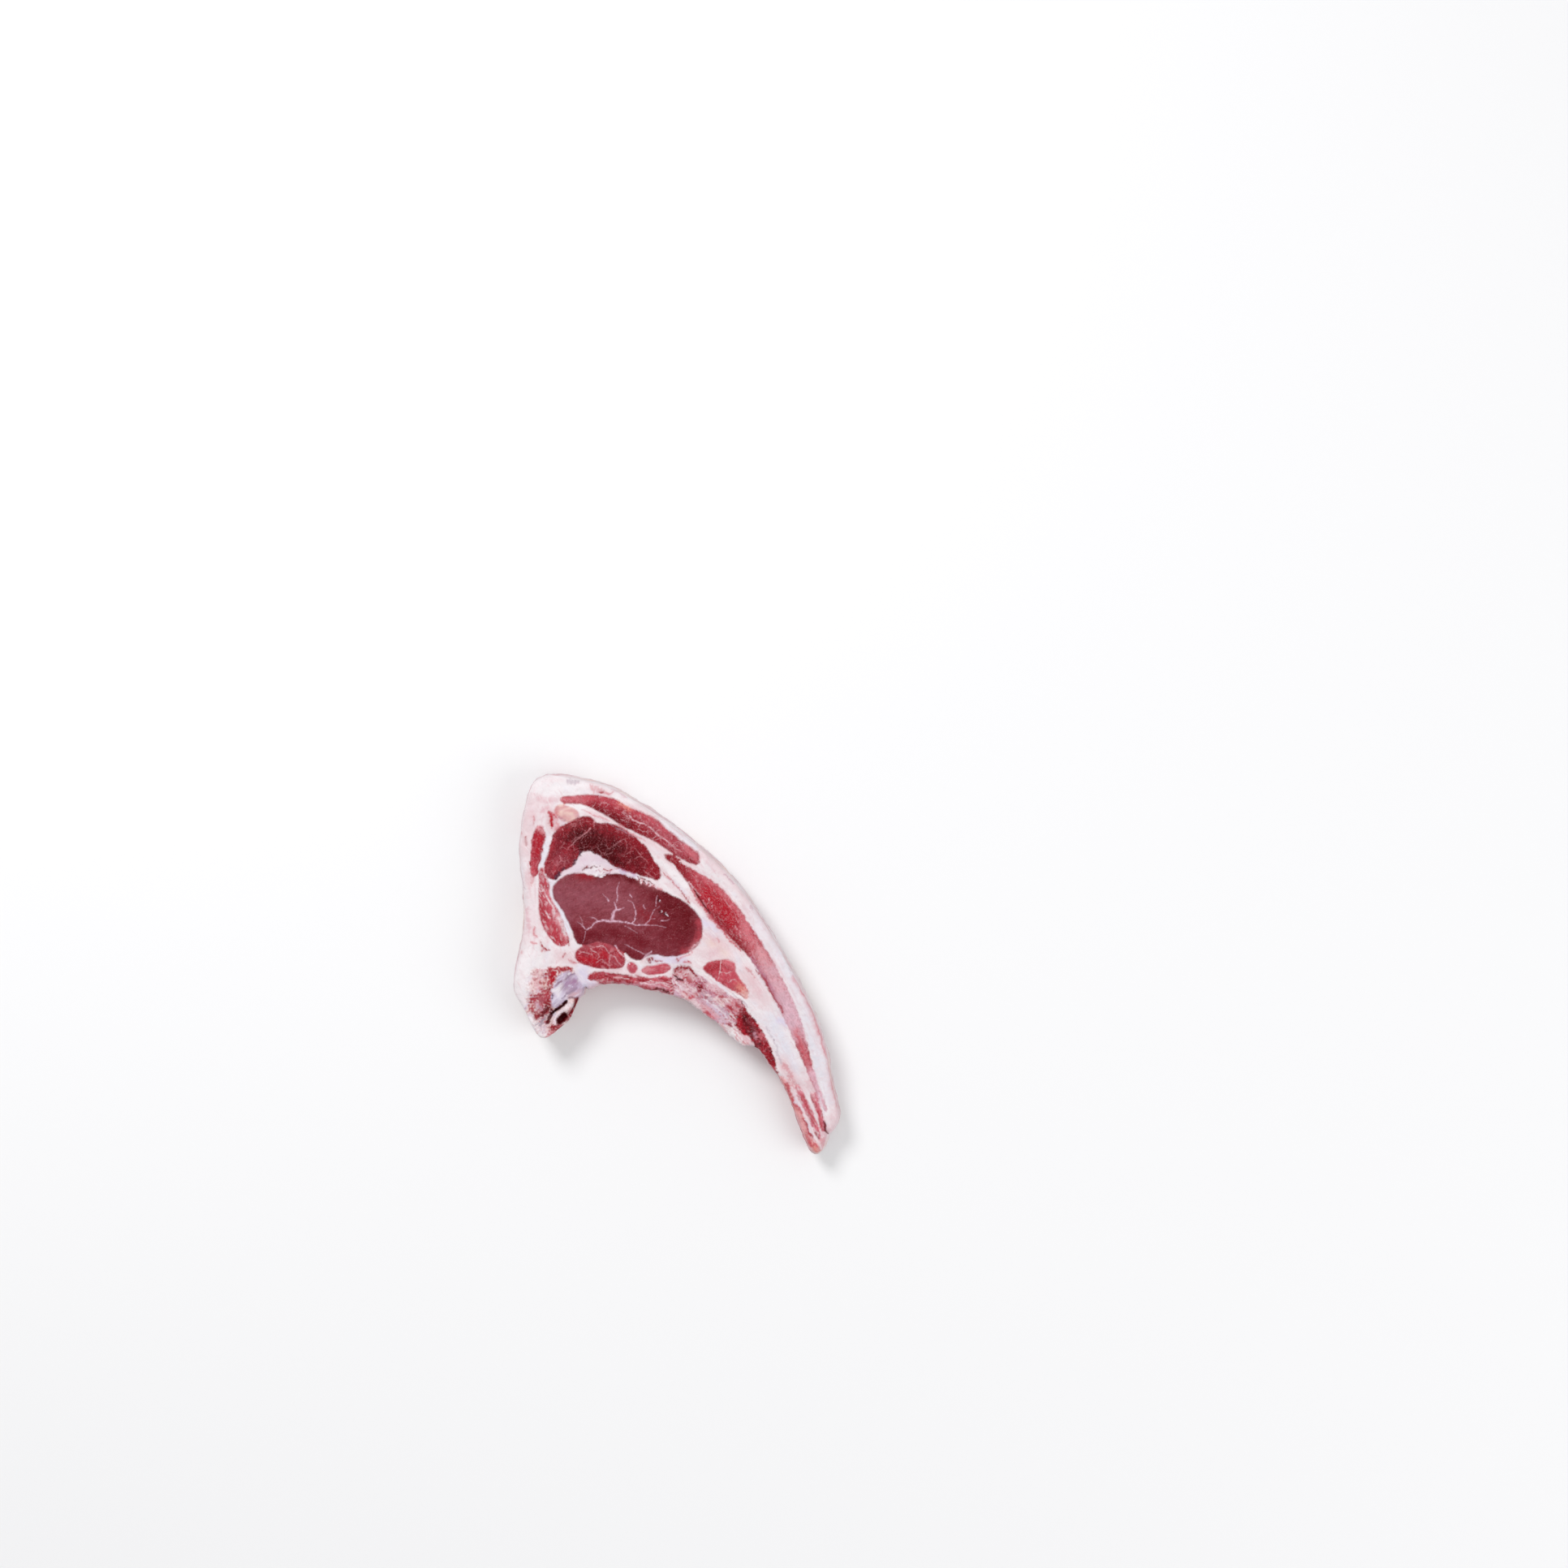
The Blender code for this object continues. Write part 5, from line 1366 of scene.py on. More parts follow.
def faceTint(name, used):
    # The tones of one piece at the points of the sheet that it touches
    colour = np.tile(toLight(baseTones[name]), (len(used), 1))
    place, rough, cloudy = bentSheet[used], grit[used], cloud[used]
    for order, (tone, along, across, angle, low, high, strength) in enumerate(streaks[name]):
        amount = smoothStep(streakNoise(used, along, across, angle, 80 + 7.7 * order), low, high)
        colour = mixed(colour, tone, strength * amount)
    for tone, radius, strength, points in washes.get(name, []):
        ratio = routeRatio(place, resample(points, washStep, False), radius, radius, washReach * radius)[0]
        amount = strength * np.exp(-ratio ** 2)
        ragged = raggedness.get(name, painting["plainRagged"][0]) * rough * (amount > painting["raggedFrom"])
        colour = mixed(colour, tone, amount * (1 + cloudy) + ragged)
    halo, width = painting["halo"]
    edge, torn = painting["strokeEdge"]
    for tone, start, end, strength, points in strokes:
        line = resample(points, strokeStep, False)
        ratio = routeRatio(place, line, start, end, strokeReach, pointed=True)[0]
        if tone in painting["stains"]:
            colour = mixed(colour, tone, strength * halo * np.exp(-(ratio / width) ** 2))
        colour = mixed(colour, tone, strength * np.clip(edge - ratio + torn * rough, 0, 1))
    tone, strength = veinTones.get(name, veinTones["others"])
    even, gritty, clouded = painting["veins"]
    colour = mixed(colour, tone, strength * veinPaint[used] * (even + gritty * rough + clouded * cloudy))
    # The cracks' tones by depth: their dark red, deepened as painted shade
    for tone, strength, begun, whole in painting["cracks"]:
        colour = mixed(colour, tone, strength * smoothStep(crackDepth[used], begun, whole))
    return colour


def tornTints():
    # Every piece's tones, torn into its neighbour's beside their seam. The share of a tone
    # depends only on the place, so both pieces show the same along their meeting line.
    touched = [np.unique(faces[owner == index]) for index in range(len(nodeNames))]
    tints = [faceTint(name, used) for name, used in zip(nodeNames, touched)]
    ragged = [raggedness.get(name, painting["plainRagged"][1]) for name in nodeNames]
    holders = [[] for _ in range(len(sheet))]
    for index, used in enumerate(touched):
        for order, v in enumerate(used.tolist()):
            holders[v].append((index, order))
    near = np.where(seamDistance < painting["bleed"])[0]
    nearTree = pointTree(sheet[near])
    tear = sum(far * noiseOf(sheet, length, seed=seed) for far, length, seed in painting["bleedWaves"])
    result = [tint.copy() for tint in tints]
    for v in near.tolist():
        for index, order in holders[v]:
            for _, k, gap in nearTree.find_n((*sheet[v], 0.0), painting["neighbours"]):
                others = [pair for pair in holders[near[k]] if pair[0] != index]
                if others:
                    other, place = others[0]
                    reach = max(ragged[index], ragged[other]) * (1 if index < other else -1)
                    lean = gap + reach * tear[v]
                    share = np.clip(0.5 + lean / (2 * painting["bleedSoftness"]), 0, 1)
                    result[index][order] = share * tints[index][order] + (1 - share) * tints[other][place]
                    break
    return touched, result


pieceTouched, pieceTints = tornTints()
print("face tinted")

# Side tones: tone, mm along, mm up, the noise where it starts and is whole, strength
sideStreaks = {
    "fat": [("pinkFat", 17, 4.0, -0.3, 0.4, 0.9), ("blush", 14, 2.2, 0.0, 0.7, 0.8),
            ("cream", 21, 5.0, 0.0, 0.6, 0.6), ("pink", 11, 1.6, 0.2, 0.8, 0.5)],
    "pinkFat": [("blush", 16, 3.0, -0.2, 0.6, 1.0), ("lilac", 18, 4.2, 0.0, 0.6, 0.6),
                ("whiteFat", 22, 1.6, 0.1, 0.6, 0.8), ("rose", 17, 1.8, 0.1, 0.8, 0.7),
                ("brick", 11, 1.3, 0.3, 0.8, 0.5)],
    "rose": [("brick", 12, 3.0, -0.1, 0.6, 0.8), ("palePink", 15, 1.4, 0.1, 0.6, 0.7),
             ("blush", 20, 2.8, 0.1, 0.7, 0.6), ("garnet", 9, 1.8, 0.2, 0.8, 0.8)],
    "cream": [("pinkFat", 9, 5.0, -0.3, 0.4, 1.0), ("blush", 6, 3.2, -0.1, 0.5, 0.8),
              ("whiteFat", 10, 4.0, 0.0, 0.6, 0.8), ("brickPink", 5.2, 3.0, 0.1, 0.8, 0.7),
              ("garnet", 3.4, 2.2, 0.4, 0.9, 0.5)],
}
sidePaint = {
    "liningWaves": [(1.1, (7.0, 5.0), 75), (0.45, (3.6, 1.2), 76)],    # mm, (mm along, mm up), seed
    "liningSoftness": 0.8,    # mm
    "liningEdge": ("whiteFat", 0.75, 0.5, 0.6),    # tone, strength, mm above the edge, half width
    "tail": ("pink", 0.6, -38, -46),   # tone, strength, where in the face it begins and is whole
    "tailWaves": ((9.0, 1.6), 71, -0.2, 0.3),
    "tailLeast": 0.4,
    "fadeWaves": (0.9, (3.2, 2.6), 76),
    "fade": (0.1, 1.7),       # mm below the face where the side's own tones begin and are whole
    "rimPasses": 24,          # smoothing of the face's tones along the rim
    "underFade": (0.6, 3.0),  # mm in from the rim of the underside
    "crackPlain": (0.1, 0.8), # mm deep: the fine detail starts to go, and is gone
}


def waved(base, seed):        # side tones over a base tone
    colour = np.tile(toLight(base), (len(wallAlong), 1))
    for order, (tone, along, up, low, high, strength) in enumerate(sideStreaks[base]):
        waves = noiseAlong(wallAlong, wallHeight, (along, up), seed + order)
        colour = mixed(colour, tone, strength * smoothStep(waves, low, high))
    return colour


def sideTint():
    # The side's tones, the same whichever piece lies there
    edge = wallHeight - wallBand
    for far, lengths, seed in sidePaint["liningWaves"]:
        edge += far * noiseAlong(wallAlong, wallHeight, lengths, seed)
    soft = sidePaint["liningSoftness"]
    inner = blended(waved("rose", 61), waved("pinkFat", 68), smoothStep(edge, -soft, soft))
    tone, strength, above, half = sidePaint["liningEdge"]
    inner = mixed(inner, tone, strength * np.exp(-((edge - above) / half) ** 2))
    tone, strength, begun, whole = sidePaint["tail"]
    tail = smoothStep(wallPlaces[..., 1].ravel(), begun, whole) * wallInner
    lengths, seed, low, high = sidePaint["tailWaves"]
    reddish = smoothStep(noiseAlong(wallAlong, wallHeight, lengths, seed), low, high)
    inner = mixed(inner, tone, strength * tail * (sidePaint["tailLeast"] + reddish))
    colour = blended(waved("fat", 80), inner, wallInner)
    return blended(colour, waved("cream", 87), np.clip(wallBony, 0, 1))


wallHeight = wallPlaces[..., 2].ravel()
sideTones = sideTint()
far, lengths, seed = sidePaint["fadeWaves"]
below = wallDepth * wallTop + far * noiseAlong(wallAlong, wallHeight, lengths, seed)
fadeDown = smoothStep(below, *sidePaint["fade"])
rimOrder = np.argsort(rimAlong[onRim])
rimSorted = rimAlong[onRim][rimOrder]
print("side tinted")


def attribute(mesh, name, values, kind="FLOAT", field="value"):
    mesh.attributes.new(name, kind, "POINT").data.foreach_set(field, np.asarray(values, np.float32).ravel())


def rimTint(tint, rimLocal, rimPoints):
    # The colours of the rim, run together along it as they go down the side
    order = np.argsort(rimAlong[rimPoints])
    blurred = np.zeros((len(order), 3))
    blurred[order] = softened(tint[rimLocal][order], sidePaint["rimPasses"])
    return downTheSide(blurred)


def hideSeams(mesh, hidden):
    # The inner walls are flat and sharp, so that they don't shade the surfaces that show
    mesh.polygons.foreach_set("use_smooth", [k not in hidden for k in range(len(mesh.polygons))])
    seamKeys = {key for k in hidden for key in mesh.polygons[k].edge_keys}
    mesh.edges.foreach_get("vertices", ends := np.zeros(2 * len(mesh.edges), int))
    sharp = [(min(a, b), max(a, b)) in seamKeys for a, b in ends.reshape(-1, 2).tolist()]
    mesh.edges.foreach_set("use_edge_sharp", sharp)


def pieceMesh(name, index):
    # One closed mesh: the cut face, the underside and the sides between them
    mine = faces[owner == index].tolist()
    used, tint = pieceTouched[index], pieceTints[index]
    local = {v: k for k, v in enumerate(used.tolist())}
    count = len(used)
    tops = [tuple(local[v] for v in triangle) for triangle in mine]
    polygons = tops + [tuple(v + count for v in reversed(t)) for t in tops]
    edges = {edge for a, b, c in mine for edge in ((a, b), (b, c), (c, a))}
    borders = [edge for edge in sorted(edges) if edge[::-1] not in edges]
    rimPoints = sorted({v for edge in borders for v in edge if v in wallFirst})
    columns, hidden = {v: [k, k + count] for v, k in local.items()}, set()
    for order, v in enumerate(rimPoints):
        first = 2 * count + order * wallRows
        columns[v][1:1] = range(first, first + wallRows)
    for a, b in borders:
        left, right = columns[a], columns[b]
        if len(sides[(min(a, b), max(a, b))]) == 1:
            for k in range(wallRows + 1):
                polygons += [(left[k], left[k + 1], right[k + 1]), (left[k], right[k + 1], right[k])]
        else:
            hidden.add(len(polygons))
            polygons.append(left + right[::-1])
    columnOf = [wallFirst[v] for v in rimPoints]
    points = np.vstack([topPoints[used], underPoints[used], wallPlaces[columnOf].reshape(-1, 3)])
    mesh = bpy.data.meshes.new(name)
    mesh.from_pydata((points * mm).tolist(), [], polygons)
    hideSeams(mesh, hidden)

    rows = np.array([c * wallRows + k for c in columnOf for k in range(wallRows)], int)
    rimLocal = np.array([local[v] for v in rimPoints], int)
    fade = fadeDown[rows]
    sideColour = blended(rimTint(tint, rimLocal, rimPoints), sideTones[rows], fade)
    nearRim = rimOrder[np.searchsorted(rimSorted, rimAlong[used]) % len(onRim)]
    away = smoothStep(rimDistance[used], *sidePaint["underFade"])
    under = blended(sideTones.reshape(-1, wallRows, 3)[nearRim, -1], tint, away)
    colour = np.vstack([tint, under, sideColour])
    attribute(mesh, "tint", np.column_stack([colour, np.ones(len(colour))]), "FLOAT_COLOR", "color")
    attribute(mesh, "side", np.concatenate([np.zeros(count), 1 - away, fade]))
    plain = veinPaint[used] + smoothStep(crackDepth[used], *sidePaint["crackPlain"])
    plain = np.clip(plain + bandStrength * np.exp(-bandRatio[used] ** 2), 0, 1)
    attribute(mesh, "plain", np.concatenate([plain, plain, downTheSide(plain[rimLocal])]))
    return mesh


def addPiece(name, node, mesh):
    piece = bpy.data.objects.new(name, mesh)
    bpy.context.scene.collection.objects.link(piece)
    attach(piece, "root")
    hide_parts(node)
    return piece


shown = {}
for index, node in enumerate(nodeNames):
    name = "chop" + "".join(word.capitalize() for word in node.split("_"))
    shown[node] = addPiece(name, node, pieceMesh(name, index))
print("pieces:", len(shown), "with", sum(len(p.data.polygons) for p in shown.values()), "faces")


class Look:                  # a material with short words for the nodes it is made of
    def __init__(self, name):
        self.material = bpy.data.materials.new(name)
        self.material.use_nodes = True
        self.tree = self.material.node_tree
        self.shader = self.tree.nodes["Principled BSDF"]
        coordinates = self.tree.nodes.new("ShaderNodeTexCoord").outputs["Object"]
        self.place = self.add("VectorMath", 0, {0: coordinates, 1: (1 / mm,) * 3}, operation="MULTIPLY")
        self.tint = self.add("Attribute", "Color", {}, attribute_name="tint")
        self.side = self.field("side")
        covered = self.maths("MAXIMUM", self.side, self.field("plain"))
        self.open = self.maths("SUBTRACT", 1.0, covered)   # 1 where the flesh itself shows

    def add(self, kind, output, inputs, **settings):
        made = self.tree.nodes.new("ShaderNode" + kind)
        for key, value in settings.items():
            setattr(made, key, value)
        for key, value in inputs.items():
            if isinstance(value, bpy.types.NodeSocket):
                self.tree.links.new(value, made.inputs[key])
            else:
                made.inputs[key].default_value = value
        return made.outputs[output]

    def maths(self, operation, a, b=0.0):
        return self.add("Math", 0, {0: a, 1: b}, operation=operation)

    def times(self, a, b):
        return self.maths("MULTIPLY", a, b)

    def bare(self, value):                   # nothing on the side, the veins and the cracks
        return self.times(value, self.open)

    def mix(self, share, a, b):
        a, b = (c if isinstance(c, bpy.types.NodeSocket) else (*toLight(c), 1) for c in (a, b))
        return self.add("Mix", 2, {0: share, 6: a, 7: b}, data_type="RGBA")

    def shaded(self, colour, value, low, high):   # darker or lighter as a value runs 0 to 1
        inputs = {"Value": value, "From Min": 0.25, "From Max": 0.75, "To Min": low, "To Max": high}
        factor = self.add("MapRange", 0, inputs)
        return self.add("VectorMath", 0, {0: colour, "Scale": factor}, operation="SCALE")

    def step(self, value, low, high, to=1.0):
        inputs = {"Value": value, "From Min": low, "From Max": high, "To Min": 0.0, "To Max": to}
        return self.add("MapRange", 0, inputs, interpolation_type="SMOOTHSTEP")

    def field(self, name):
        return self.add("Attribute", "Fac", {}, attribute_name=name)

    def noise(self, length, detail=2.0, place=None, rough=0.5):
        inputs = {"Vector": place or self.place, "Scale": 1 / length, "Detail": detail, "Roughness": rough}
        return self.add("TexNoise", "Fac", inputs)

    def cells(self, length, feature="DISTANCE_TO_EDGE", place=None):
        inputs = {"Vector": place or self.place, "Scale": 1 / length}
        return self.add("TexVoronoi", "Distance", inputs, feature=feature)

    def bent(self, length, amount):          # the place, shaken about by noise
        shake = self.add("TexNoise", "Color", {"Vector": self.place, "Scale": 1 / length, "Detail": 2.0})
        shift = self.add("VectorMath", 0, {0: shake, 1: (0.5, 0.5, 0.5)}, operation="SUBTRACT")
        far = self.add("VectorMath", 0, {0: shift, 1: (amount,) * 3}, operation="MULTIPLY")
        return self.add("VectorMath", 0, {0: self.place, 1: far}, operation="ADD")

    def threads(self, angle, across, along, detail=3.0, rough=0.5):   # noise drawn out one way in the face
        turn = {"Vector": self.bent(6.0, 2.2), "Rotation": (0, 0, -math.radians(angle))}
        turned = self.add("Mapping", 0, turn)
        drawn = self.add("Mapping", 0, {"Vector": turned, "Scale": (1 / along, 1 / across, 1 / across)})
        return self.noise(1.0, detail, drawn, rough)

    def dots(self, spacing, size, patches, low, high):
        # Small pale dots, partly fat grains and partly painted wet glints: cell centres, present in some
        # places and not in others
        uneven = self.times(self.noise(0.5), 0.36)
        reach = self.maths("ADD", self.cells(spacing, "F1", self.bent(0.7, 0.35)), uneven)
        spots = self.step(reach, size + 0.17, size * 0.5 + 0.17)
        return self.times(spots, self.step(self.noise(patches, 2.0), low, high))

    def value(self, wanted):                 # a value as it is, or (length, detail) of a noise
        return self.noise(*wanted) if isinstance(wanted, tuple) else wanted

    def veils(self, colour, rows, bare=True):
        # Rows of a value, where a veil begins and is whole, its strength and its tone
        for wanted, low, high, strength, tone in rows:
            amount = self.step(self.value(wanted), low, high, strength)
            colour = self.mix(self.bare(amount) if bare else amount, colour, tone)
        return colour

    def bumps(self, rows, normal=None):      # rows of a height and its depth in mm
        for wanted, depth in rows:
            inputs = {"Height": self.value(wanted), "Distance": depth * mm, "Strength": 1.0}
            if normal is not None:
                inputs["Normal"] = normal
            normal = self.add("Bump", 0, inputs)
        return normal

    def glossy(self, value, spread, least):  # roughness that follows a value
        return self.maths("ADD", self.times(self.value(value), spread), least)

    def finished(self, colour, roughness, normal, wetness=None):
        colour, normal = sideSkin(self, colour, normal)
        for name, value in (wetness or wet).items():
            self.shader.inputs[name].default_value = value
        for name, value in (("Base Color", colour), ("Roughness", roughness), ("Normal", normal)):
            self.tree.links.new(value, self.shader.inputs[name])
        return self.material


wet = {"Specular IOR Level": 0.08, "Coat Weight": 0.02, "Coat Roughness": 0.14}
glazed = dict(wet, **{"Coat Weight": 0.07, "Specular IOR Level": 0.25})
skin = {
    "bend": (3.0, 2.4),       # mm long, mm far
    "folds": (0.22, 0.22, 1.3),        # how closely they follow each other in x, y and z
    "threads": (0.5, 0.5, 3.4),
    "shade": (0.88, 1.10),
    "show": 0.8,
    "depths": (0.75, 0.22),   # mm
}


def sideSkin(look, colour, normal):
    # The thin skin over the side: fine creases that run along it, on every piece alike
    bent = look.bent(*skin["bend"])
    folds, threads = (look.noise(1.0, 5.0, look.add("Mapping", 0, {"Vector": bent, "Scale": skin[kind]}),
                                 0.62) for kind in ("folds", "threads"))
    share = look.times(look.side, skin["show"])
    veiled = look.veils(look.shaded(colour, folds, *skin["shade"]), [
        (threads, 0.46, 0.30, 0.34, "rose"), (threads, 0.55, 0.70, 0.30, "whiteFat"),
        ((1.6, 4), 0.60, 0.72, 0.22, "blush")], bare=False)
    return look.mix(share, colour, veiled), look.bumps(
        [(look.times(value, share), depth) for value, depth in zip((folds, threads), skin["depths"])], normal)


def leanLook(name, part):
    look = Look(name)
    colour = look.shaded(look.tint, look.noise(part["mottle"], 4.0, rough=0.6), *part["mottleShade"])
    strands = look.threads(part["angle"], part["strand"], part["strand"] * 6)
    colour = look.shaded(colour, strands, 1 - part["strandShade"], 1 + part["strandShade"])
    speckle = look.mix(0.45, look.tint, part["speckle"])
    colour = look.veils(colour, [(strands, 0.57, 0.74, part["strandShow"], speckle)])
    # pale dots and fine flecks: fat grains, and painted wet glints
    grainsAndGlints = look.dots(part["grainGlintSpacing"], part["grainGlintSize"], 3.6, *part["grainGlintPatches"])
    pale = look.maths("MAXIMUM", grainsAndGlints, look.step(look.noise(0.42, 3.0), 0.56, 0.68, 0.5))
    colour = look.mix(look.bare(look.times(pale, part["grainGlintShow"])), colour, speckle)
    webs = look.step(look.cells(part["bundle"], place=look.bent(1.6, 1.6)), 0.085, 0.015)
    broken = look.times(webs, look.step(look.noise(1.5, 3.0), 0.42, 0.60))
    webs = look.times(broken, look.step(look.noise(7.0, 2.0), 0.38, 0.56, part["webShow"]))
    colour = look.mix(look.bare(webs), colour, speckle)
    colour = look.veils(colour, [((0.8, 3), 0.42, 0.28, part["darkShow"], part["dark"])])
    roughness = look.maths("ADD", look.step(look.noise(1.4, 2.0), 0.2, 0.8, 0.22), part["roughness"])
    height = look.maths("ADD", look.times(strands, 0.6), look.times(pale, 0.35))
    return look.finished(colour, roughness, look.bumps([(look.bare(height), 0.16), ((0.6, 3), 0.10)]))


# Each muscle: lengths in mm, angles of its strands in degrees, strengths from 0 to 1
eyeMuscle = {
    "mottle": 1.6, "mottleShade": (0.90, 1.10), "angle": 20, "strand": 0.6, "strandShade": 0.10,
    "strandShow": 0.16, "speckle": "palePink", "grainGlintSpacing": 1.1, "grainGlintSize": 0.24,
    "grainGlintPatches": (0.42, 0.66), "grainGlintShow": 0.5, "bundle": 3.4, "webShow": 0.15,
    "dark": "maroon", "darkShow": 0.35, "roughness": 0.36,
}
capMuscle = dict(eyeMuscle, angle=65, strandShade=0.14, strandShow=0.18, grainGlintSpacing=0.9, bundle=2.9,
                 grainGlintPatches=(0.34, 0.60), grainGlintShow=0.75, webShow=0.7, dark="wine", darkShow=0.5,
                 mottleShade=(0.84, 1.14), roughness=0.32)
shoulderMuscle = dict(capMuscle, angle=-35, grainGlintSpacing=0.8, grainGlintShow=0.9, webShow=0.95, dark="garnet",
                      grainGlintPatches=(0.26, 0.50), strandShade=0.10, speckle="blush")
flankMuscle = dict(shoulderMuscle, angle=-58, strand=0.5, strandShow=0.35, grainGlintSpacing=0.95, webShow=0.25,
                   grainGlintShow=0.75, grainGlintPatches=(0.34, 0.58), speckle="pinkFat", darkShow=0.15)
smallMuscle = dict(flankMuscle, angle=70, speckle="palePink", bundle=2.2, webShow=0.6, dark="brick",
                   darkShow=0.35)
paleStrip = dict(smallMuscle, angle=-62, strand=0.45, strandShow=0.5, webShow=0.3, grainGlintShow=0.6, bundle=1.7,
                 grainGlintSpacing=0.8, darkShow=0.3)


def fatLook():
    look = Look("creamyFat")
    lumps = look.cells(2.8, "SMOOTH_F1", place=look.bent(3.0, 1.8))
    threads = look.threads(-58, 0.8, 6.0)
    colour = look.veils(look.shaded(look.tint, look.noise(6.0, 4.0), 0.965, 1.035), [
        ((2.6, 4), 0.54, 0.70, 0.32, "pinkFat"), (threads, 0.60, 0.74, 0.35, "blush"),
        (threads, 0.42, 0.28, 0.45, "whiteFat"), ((1.0, 4), 0.62, 0.72, 0.25, "blush")])
    normal = look.bumps([(look.bare(lumps), 0.28), (threads, 0.10), ((0.7, 3), 0.12)])
    return look.finished(colour, look.glossy((2.2, 3), 0.26, 0.28), normal)


def boneLook(name, angle, porous, pale):
    look = Look(name)
    holes = look.cells(0.9, "F1", look.bent(1.2, 0.9))
    threads = look.threads(angle, 0.6, 3.6, 4.0, 0.6)
    colour = look.veils(look.shaded(look.tint, look.noise(1.1, 4.0, rough=0.65), 0.90, 1.08), [
        (threads, 0.56, 0.70, pale, "pinkFat"), (threads, 0.42, 0.28, 0.45, "brickPink")])
    deep = look.times(look.step(holes, 0.34, 0.10), look.step(look.noise(3.0, 3.0), 0.50, 0.64, porous))
    colour = look.mix(look.bare(deep), colour, "rose")
    normal = look.bumps([(look.bare(look.step(holes, 0.05, 0.35)), 0.05), (threads, 0.16), ((0.6, 3), 0.12)])
    return look.finished(colour, look.glossy((1.2, 2), 0.26, 0.30), normal)


def marrowLook():
    look = Look("redMarrow")
    # pale specks: the marrow's small pale dots, and painted wet glints
    specks = look.maths("MAXIMUM", look.dots(1.0, 0.28, 1.8, 0.52, 0.68),
                        look.step(look.noise(0.7, 4.0), 0.56, 0.68, 0.7))
    colour = look.shaded(look.tint, look.noise(1.5, 4.0, rough=0.65), 0.80, 1.25)
    colour = look.mix(look.bare(look.times(specks, 0.42)), colour, "palePink")
    colour = look.veils(colour, [((1.3, 3), 0.42, 0.30, 0.5, "oxblood")])
    normal = look.bumps([(look.bare(specks), 0.08), ((0.7, 3), 0.30)])
    return look.finished(colour, look.glossy(specks, 0.2, 0.26), normal)


def sinewLook(name, angle, across, pale, dark, depth):
    # Cartilage, ligament and membrane: glossy, with streaks one way
    look = Look(name)
    threads = look.threads(angle, across, across * 6)
    colour = look.veils(look.tint, [(threads, 0.54, 0.70, 0.55, pale), (threads, 0.44, 0.30, 0.40, dark)])
    colour = look.shaded(colour, look.noise(2.4, 3.0), 0.95, 1.04)
    normal = look.bumps([(look.bare(threads), depth), ((0.7, 2), 0.08)])
    return look.finished(colour, look.glossy(threads, 0.14, 0.20), normal, glazed)


looks = {
    "fat_body": fatLook(), "eye_muscle": leanLook("eyeMuscleFlesh", eyeMuscle),
    "cap_muscle": leanLook("capMuscleFlesh", capMuscle),
    "shoulder_muscle": leanLook("shoulderFlesh", shoulderMuscle),
    "flank_muscle": leanLook("flankFlesh", flankMuscle), "rib_marrow": marrowLook(),
    "rib_bone": boneLook("ribBoneFace", -38, 0.6, 0.55), "vertebra": boneLook("vertebraFace", 55, 0.5, 0.25),
    "neck_ligament": sinewLook("neckLigament", 10, 1.2, "cream", "blush", 0.08),
    "edge_membrane": sinewLook("edgeMembrane", -40, 0.5, "whiteFat", "palePink", 0.24),
    "cartilage": sinewLook("lilacCartilage", 45, 0.8, "paleLilac", "lilacGreyAndShade", 0.14),
}
smallFlesh, stripFlesh = leanLook("smallMuscleFlesh", smallMuscle), leanLook("paleStripFlesh", paleStrip)
for node, piece in shown.items():
    flesh = stripFlesh if "strip" in node and "under" not in node else smallFlesh
    piece.data.materials.append(looks.get(node, flesh))
print("looks given to", len(shown), "pieces")

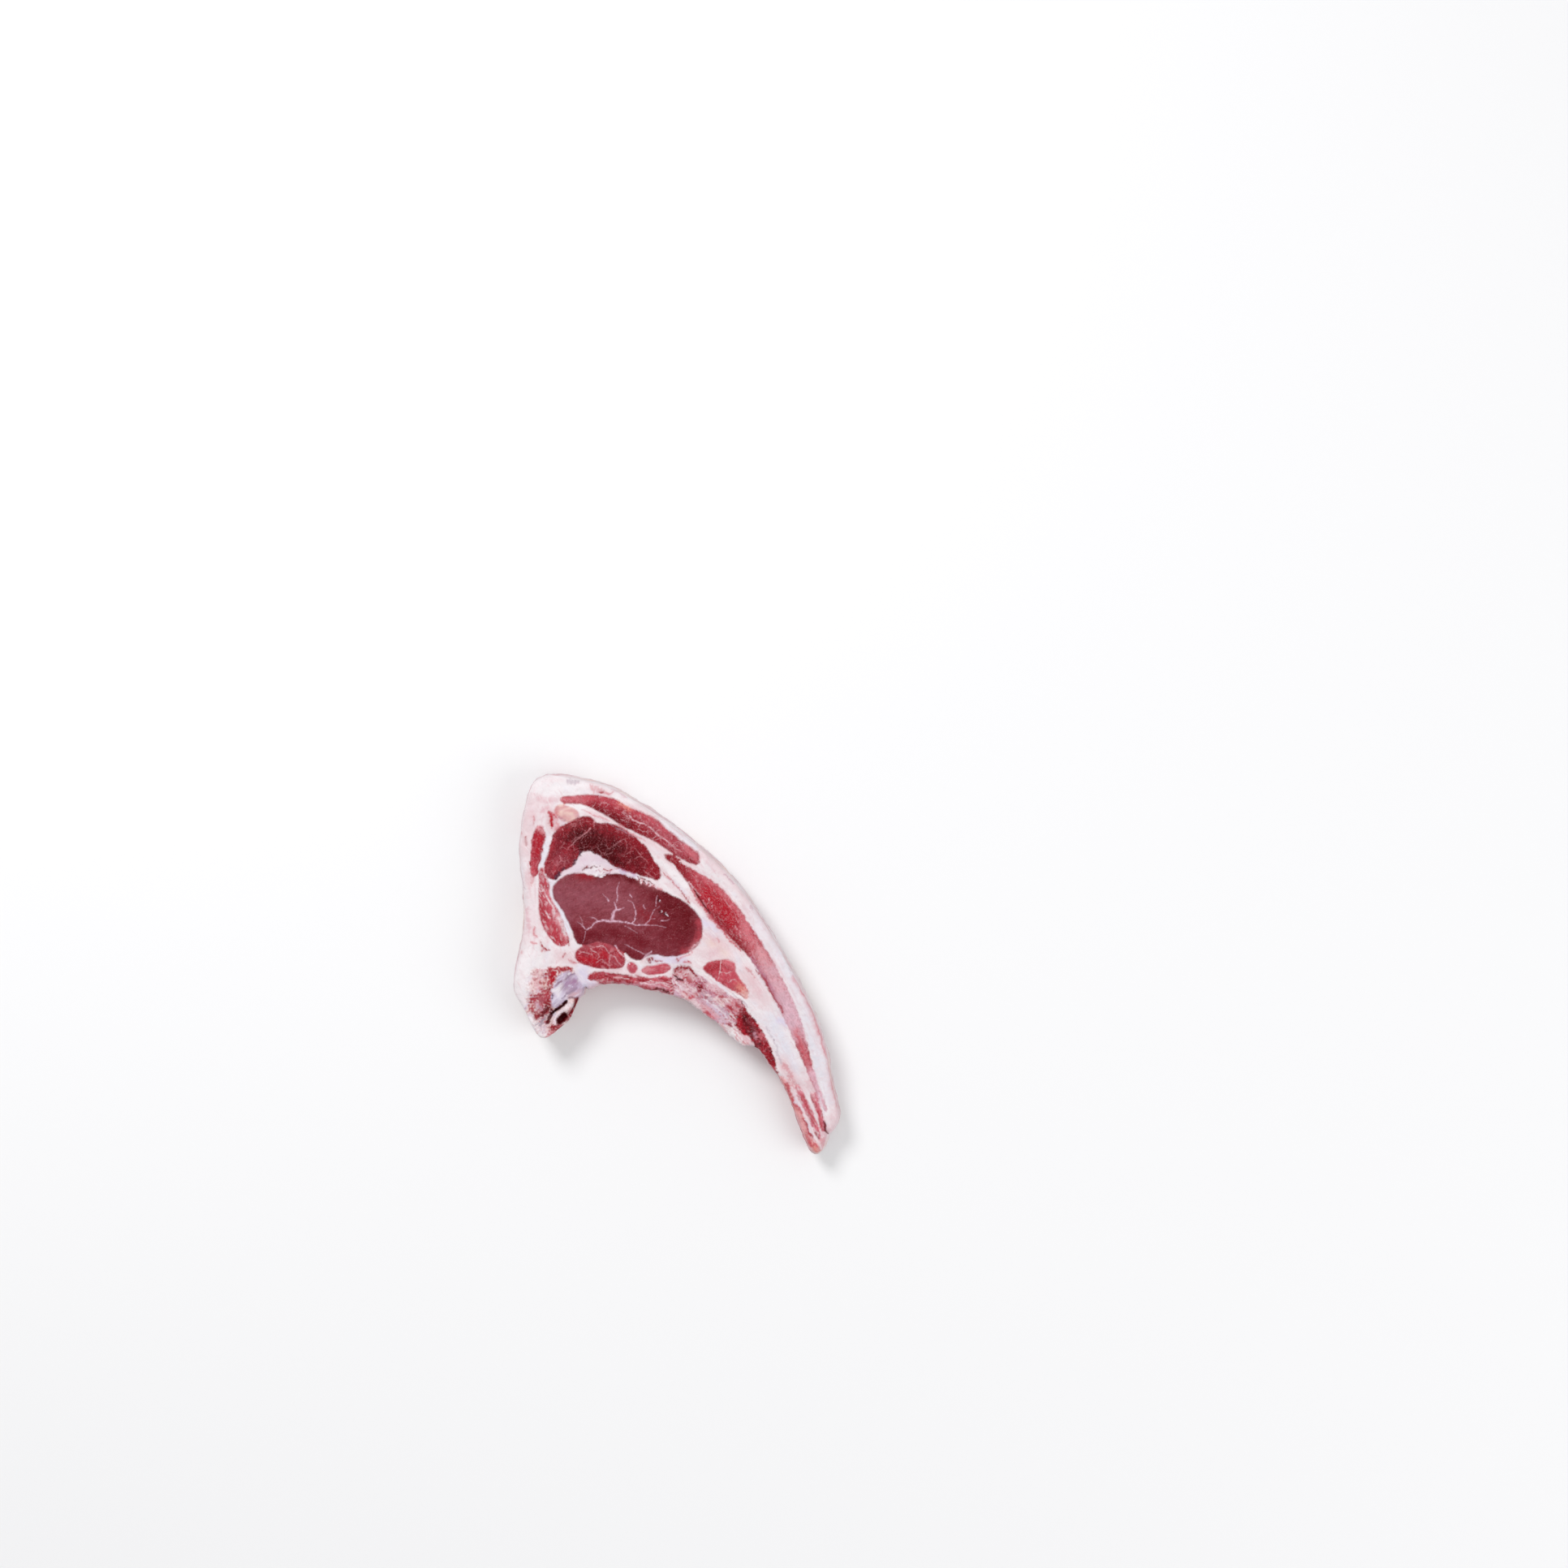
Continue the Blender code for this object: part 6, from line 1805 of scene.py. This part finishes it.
studio = {
    "floorHalf": 4,           # m
    "floorColour": (0.86, 0.86, 0.87),
    "floorRoughness": 0.8,
    "worldStrength": 0.62,
    "key": {"place": (-0.55, 0.75, 1.05), "size": 0.55, "power": 9.5},
    "fill": {"place": (0.95, -0.35, 0.85), "size": 1.1, "power": 5.0},
    "photoWidth": 0.61824,    # m across the photograph at the table
    "photoCentre": (0.0424, 0.0715),
    "lens": 85,               # mm
    "sensor": 36,             # mm
    "faceHeight": 0.018,      # m, of the face that the photograph shows at its true size
}


def addFloor():
    half = studio["floorHalf"]
    mesh = bpy.data.meshes.new("floor")
    corners = [(-half, -half, 0), (half, -half, 0), (half, half, 0), (-half, half, 0)]
    mesh.from_pydata(corners, [], [(0, 1, 2, 3)])
    floor = bpy.data.objects.new("floor", mesh)
    bpy.context.scene.collection.objects.link(floor)
    material = bpy.data.materials.new("paleFloor")
    material.use_nodes = True
    shader = material.node_tree.nodes["Principled BSDF"]
    shader.inputs["Base Color"].default_value = studio["floorColour"] + (1,)
    shader.inputs["Roughness"].default_value = studio["floorRoughness"]
    mesh.materials.append(material)


def addLight(name, place, size, power):
    light = bpy.data.lights.new(name, "AREA")
    light.shape = "DISK"
    light.size = size
    light.energy = power
    lamp = bpy.data.objects.new(name, light)
    bpy.context.scene.collection.objects.link(lamp)
    lamp.location = place
    lamp.rotation_euler = (-Vector(place)).to_track_quat("-Z", "Y").to_euler()


def addCamera():             # straight above, on the photograph's own frame
    data = bpy.data.cameras.new("camera")
    data.lens = studio["lens"]
    data.sensor_width = studio["sensor"]
    camera = bpy.data.objects.new("camera", data)
    distance = studio["photoWidth"] * data.lens / data.sensor_width
    camera.location = (*studio["photoCentre"], distance + studio["faceHeight"])
    bpy.context.scene.collection.objects.link(camera)
    bpy.context.scene.camera = camera


addFloor()
for lightName in ("key", "fill"):
    addLight(lightName, **studio[lightName])
world = bpy.data.worlds.new("softWorld")
world.use_nodes = True
world.node_tree.nodes["Background"].inputs["Color"].default_value = (1, 1, 1, 1)
world.node_tree.nodes["Background"].inputs["Strength"].default_value = studio["worldStrength"]
bpy.context.scene.world = world
bpy.context.scene.view_settings.view_transform = "Standard"
addCamera()
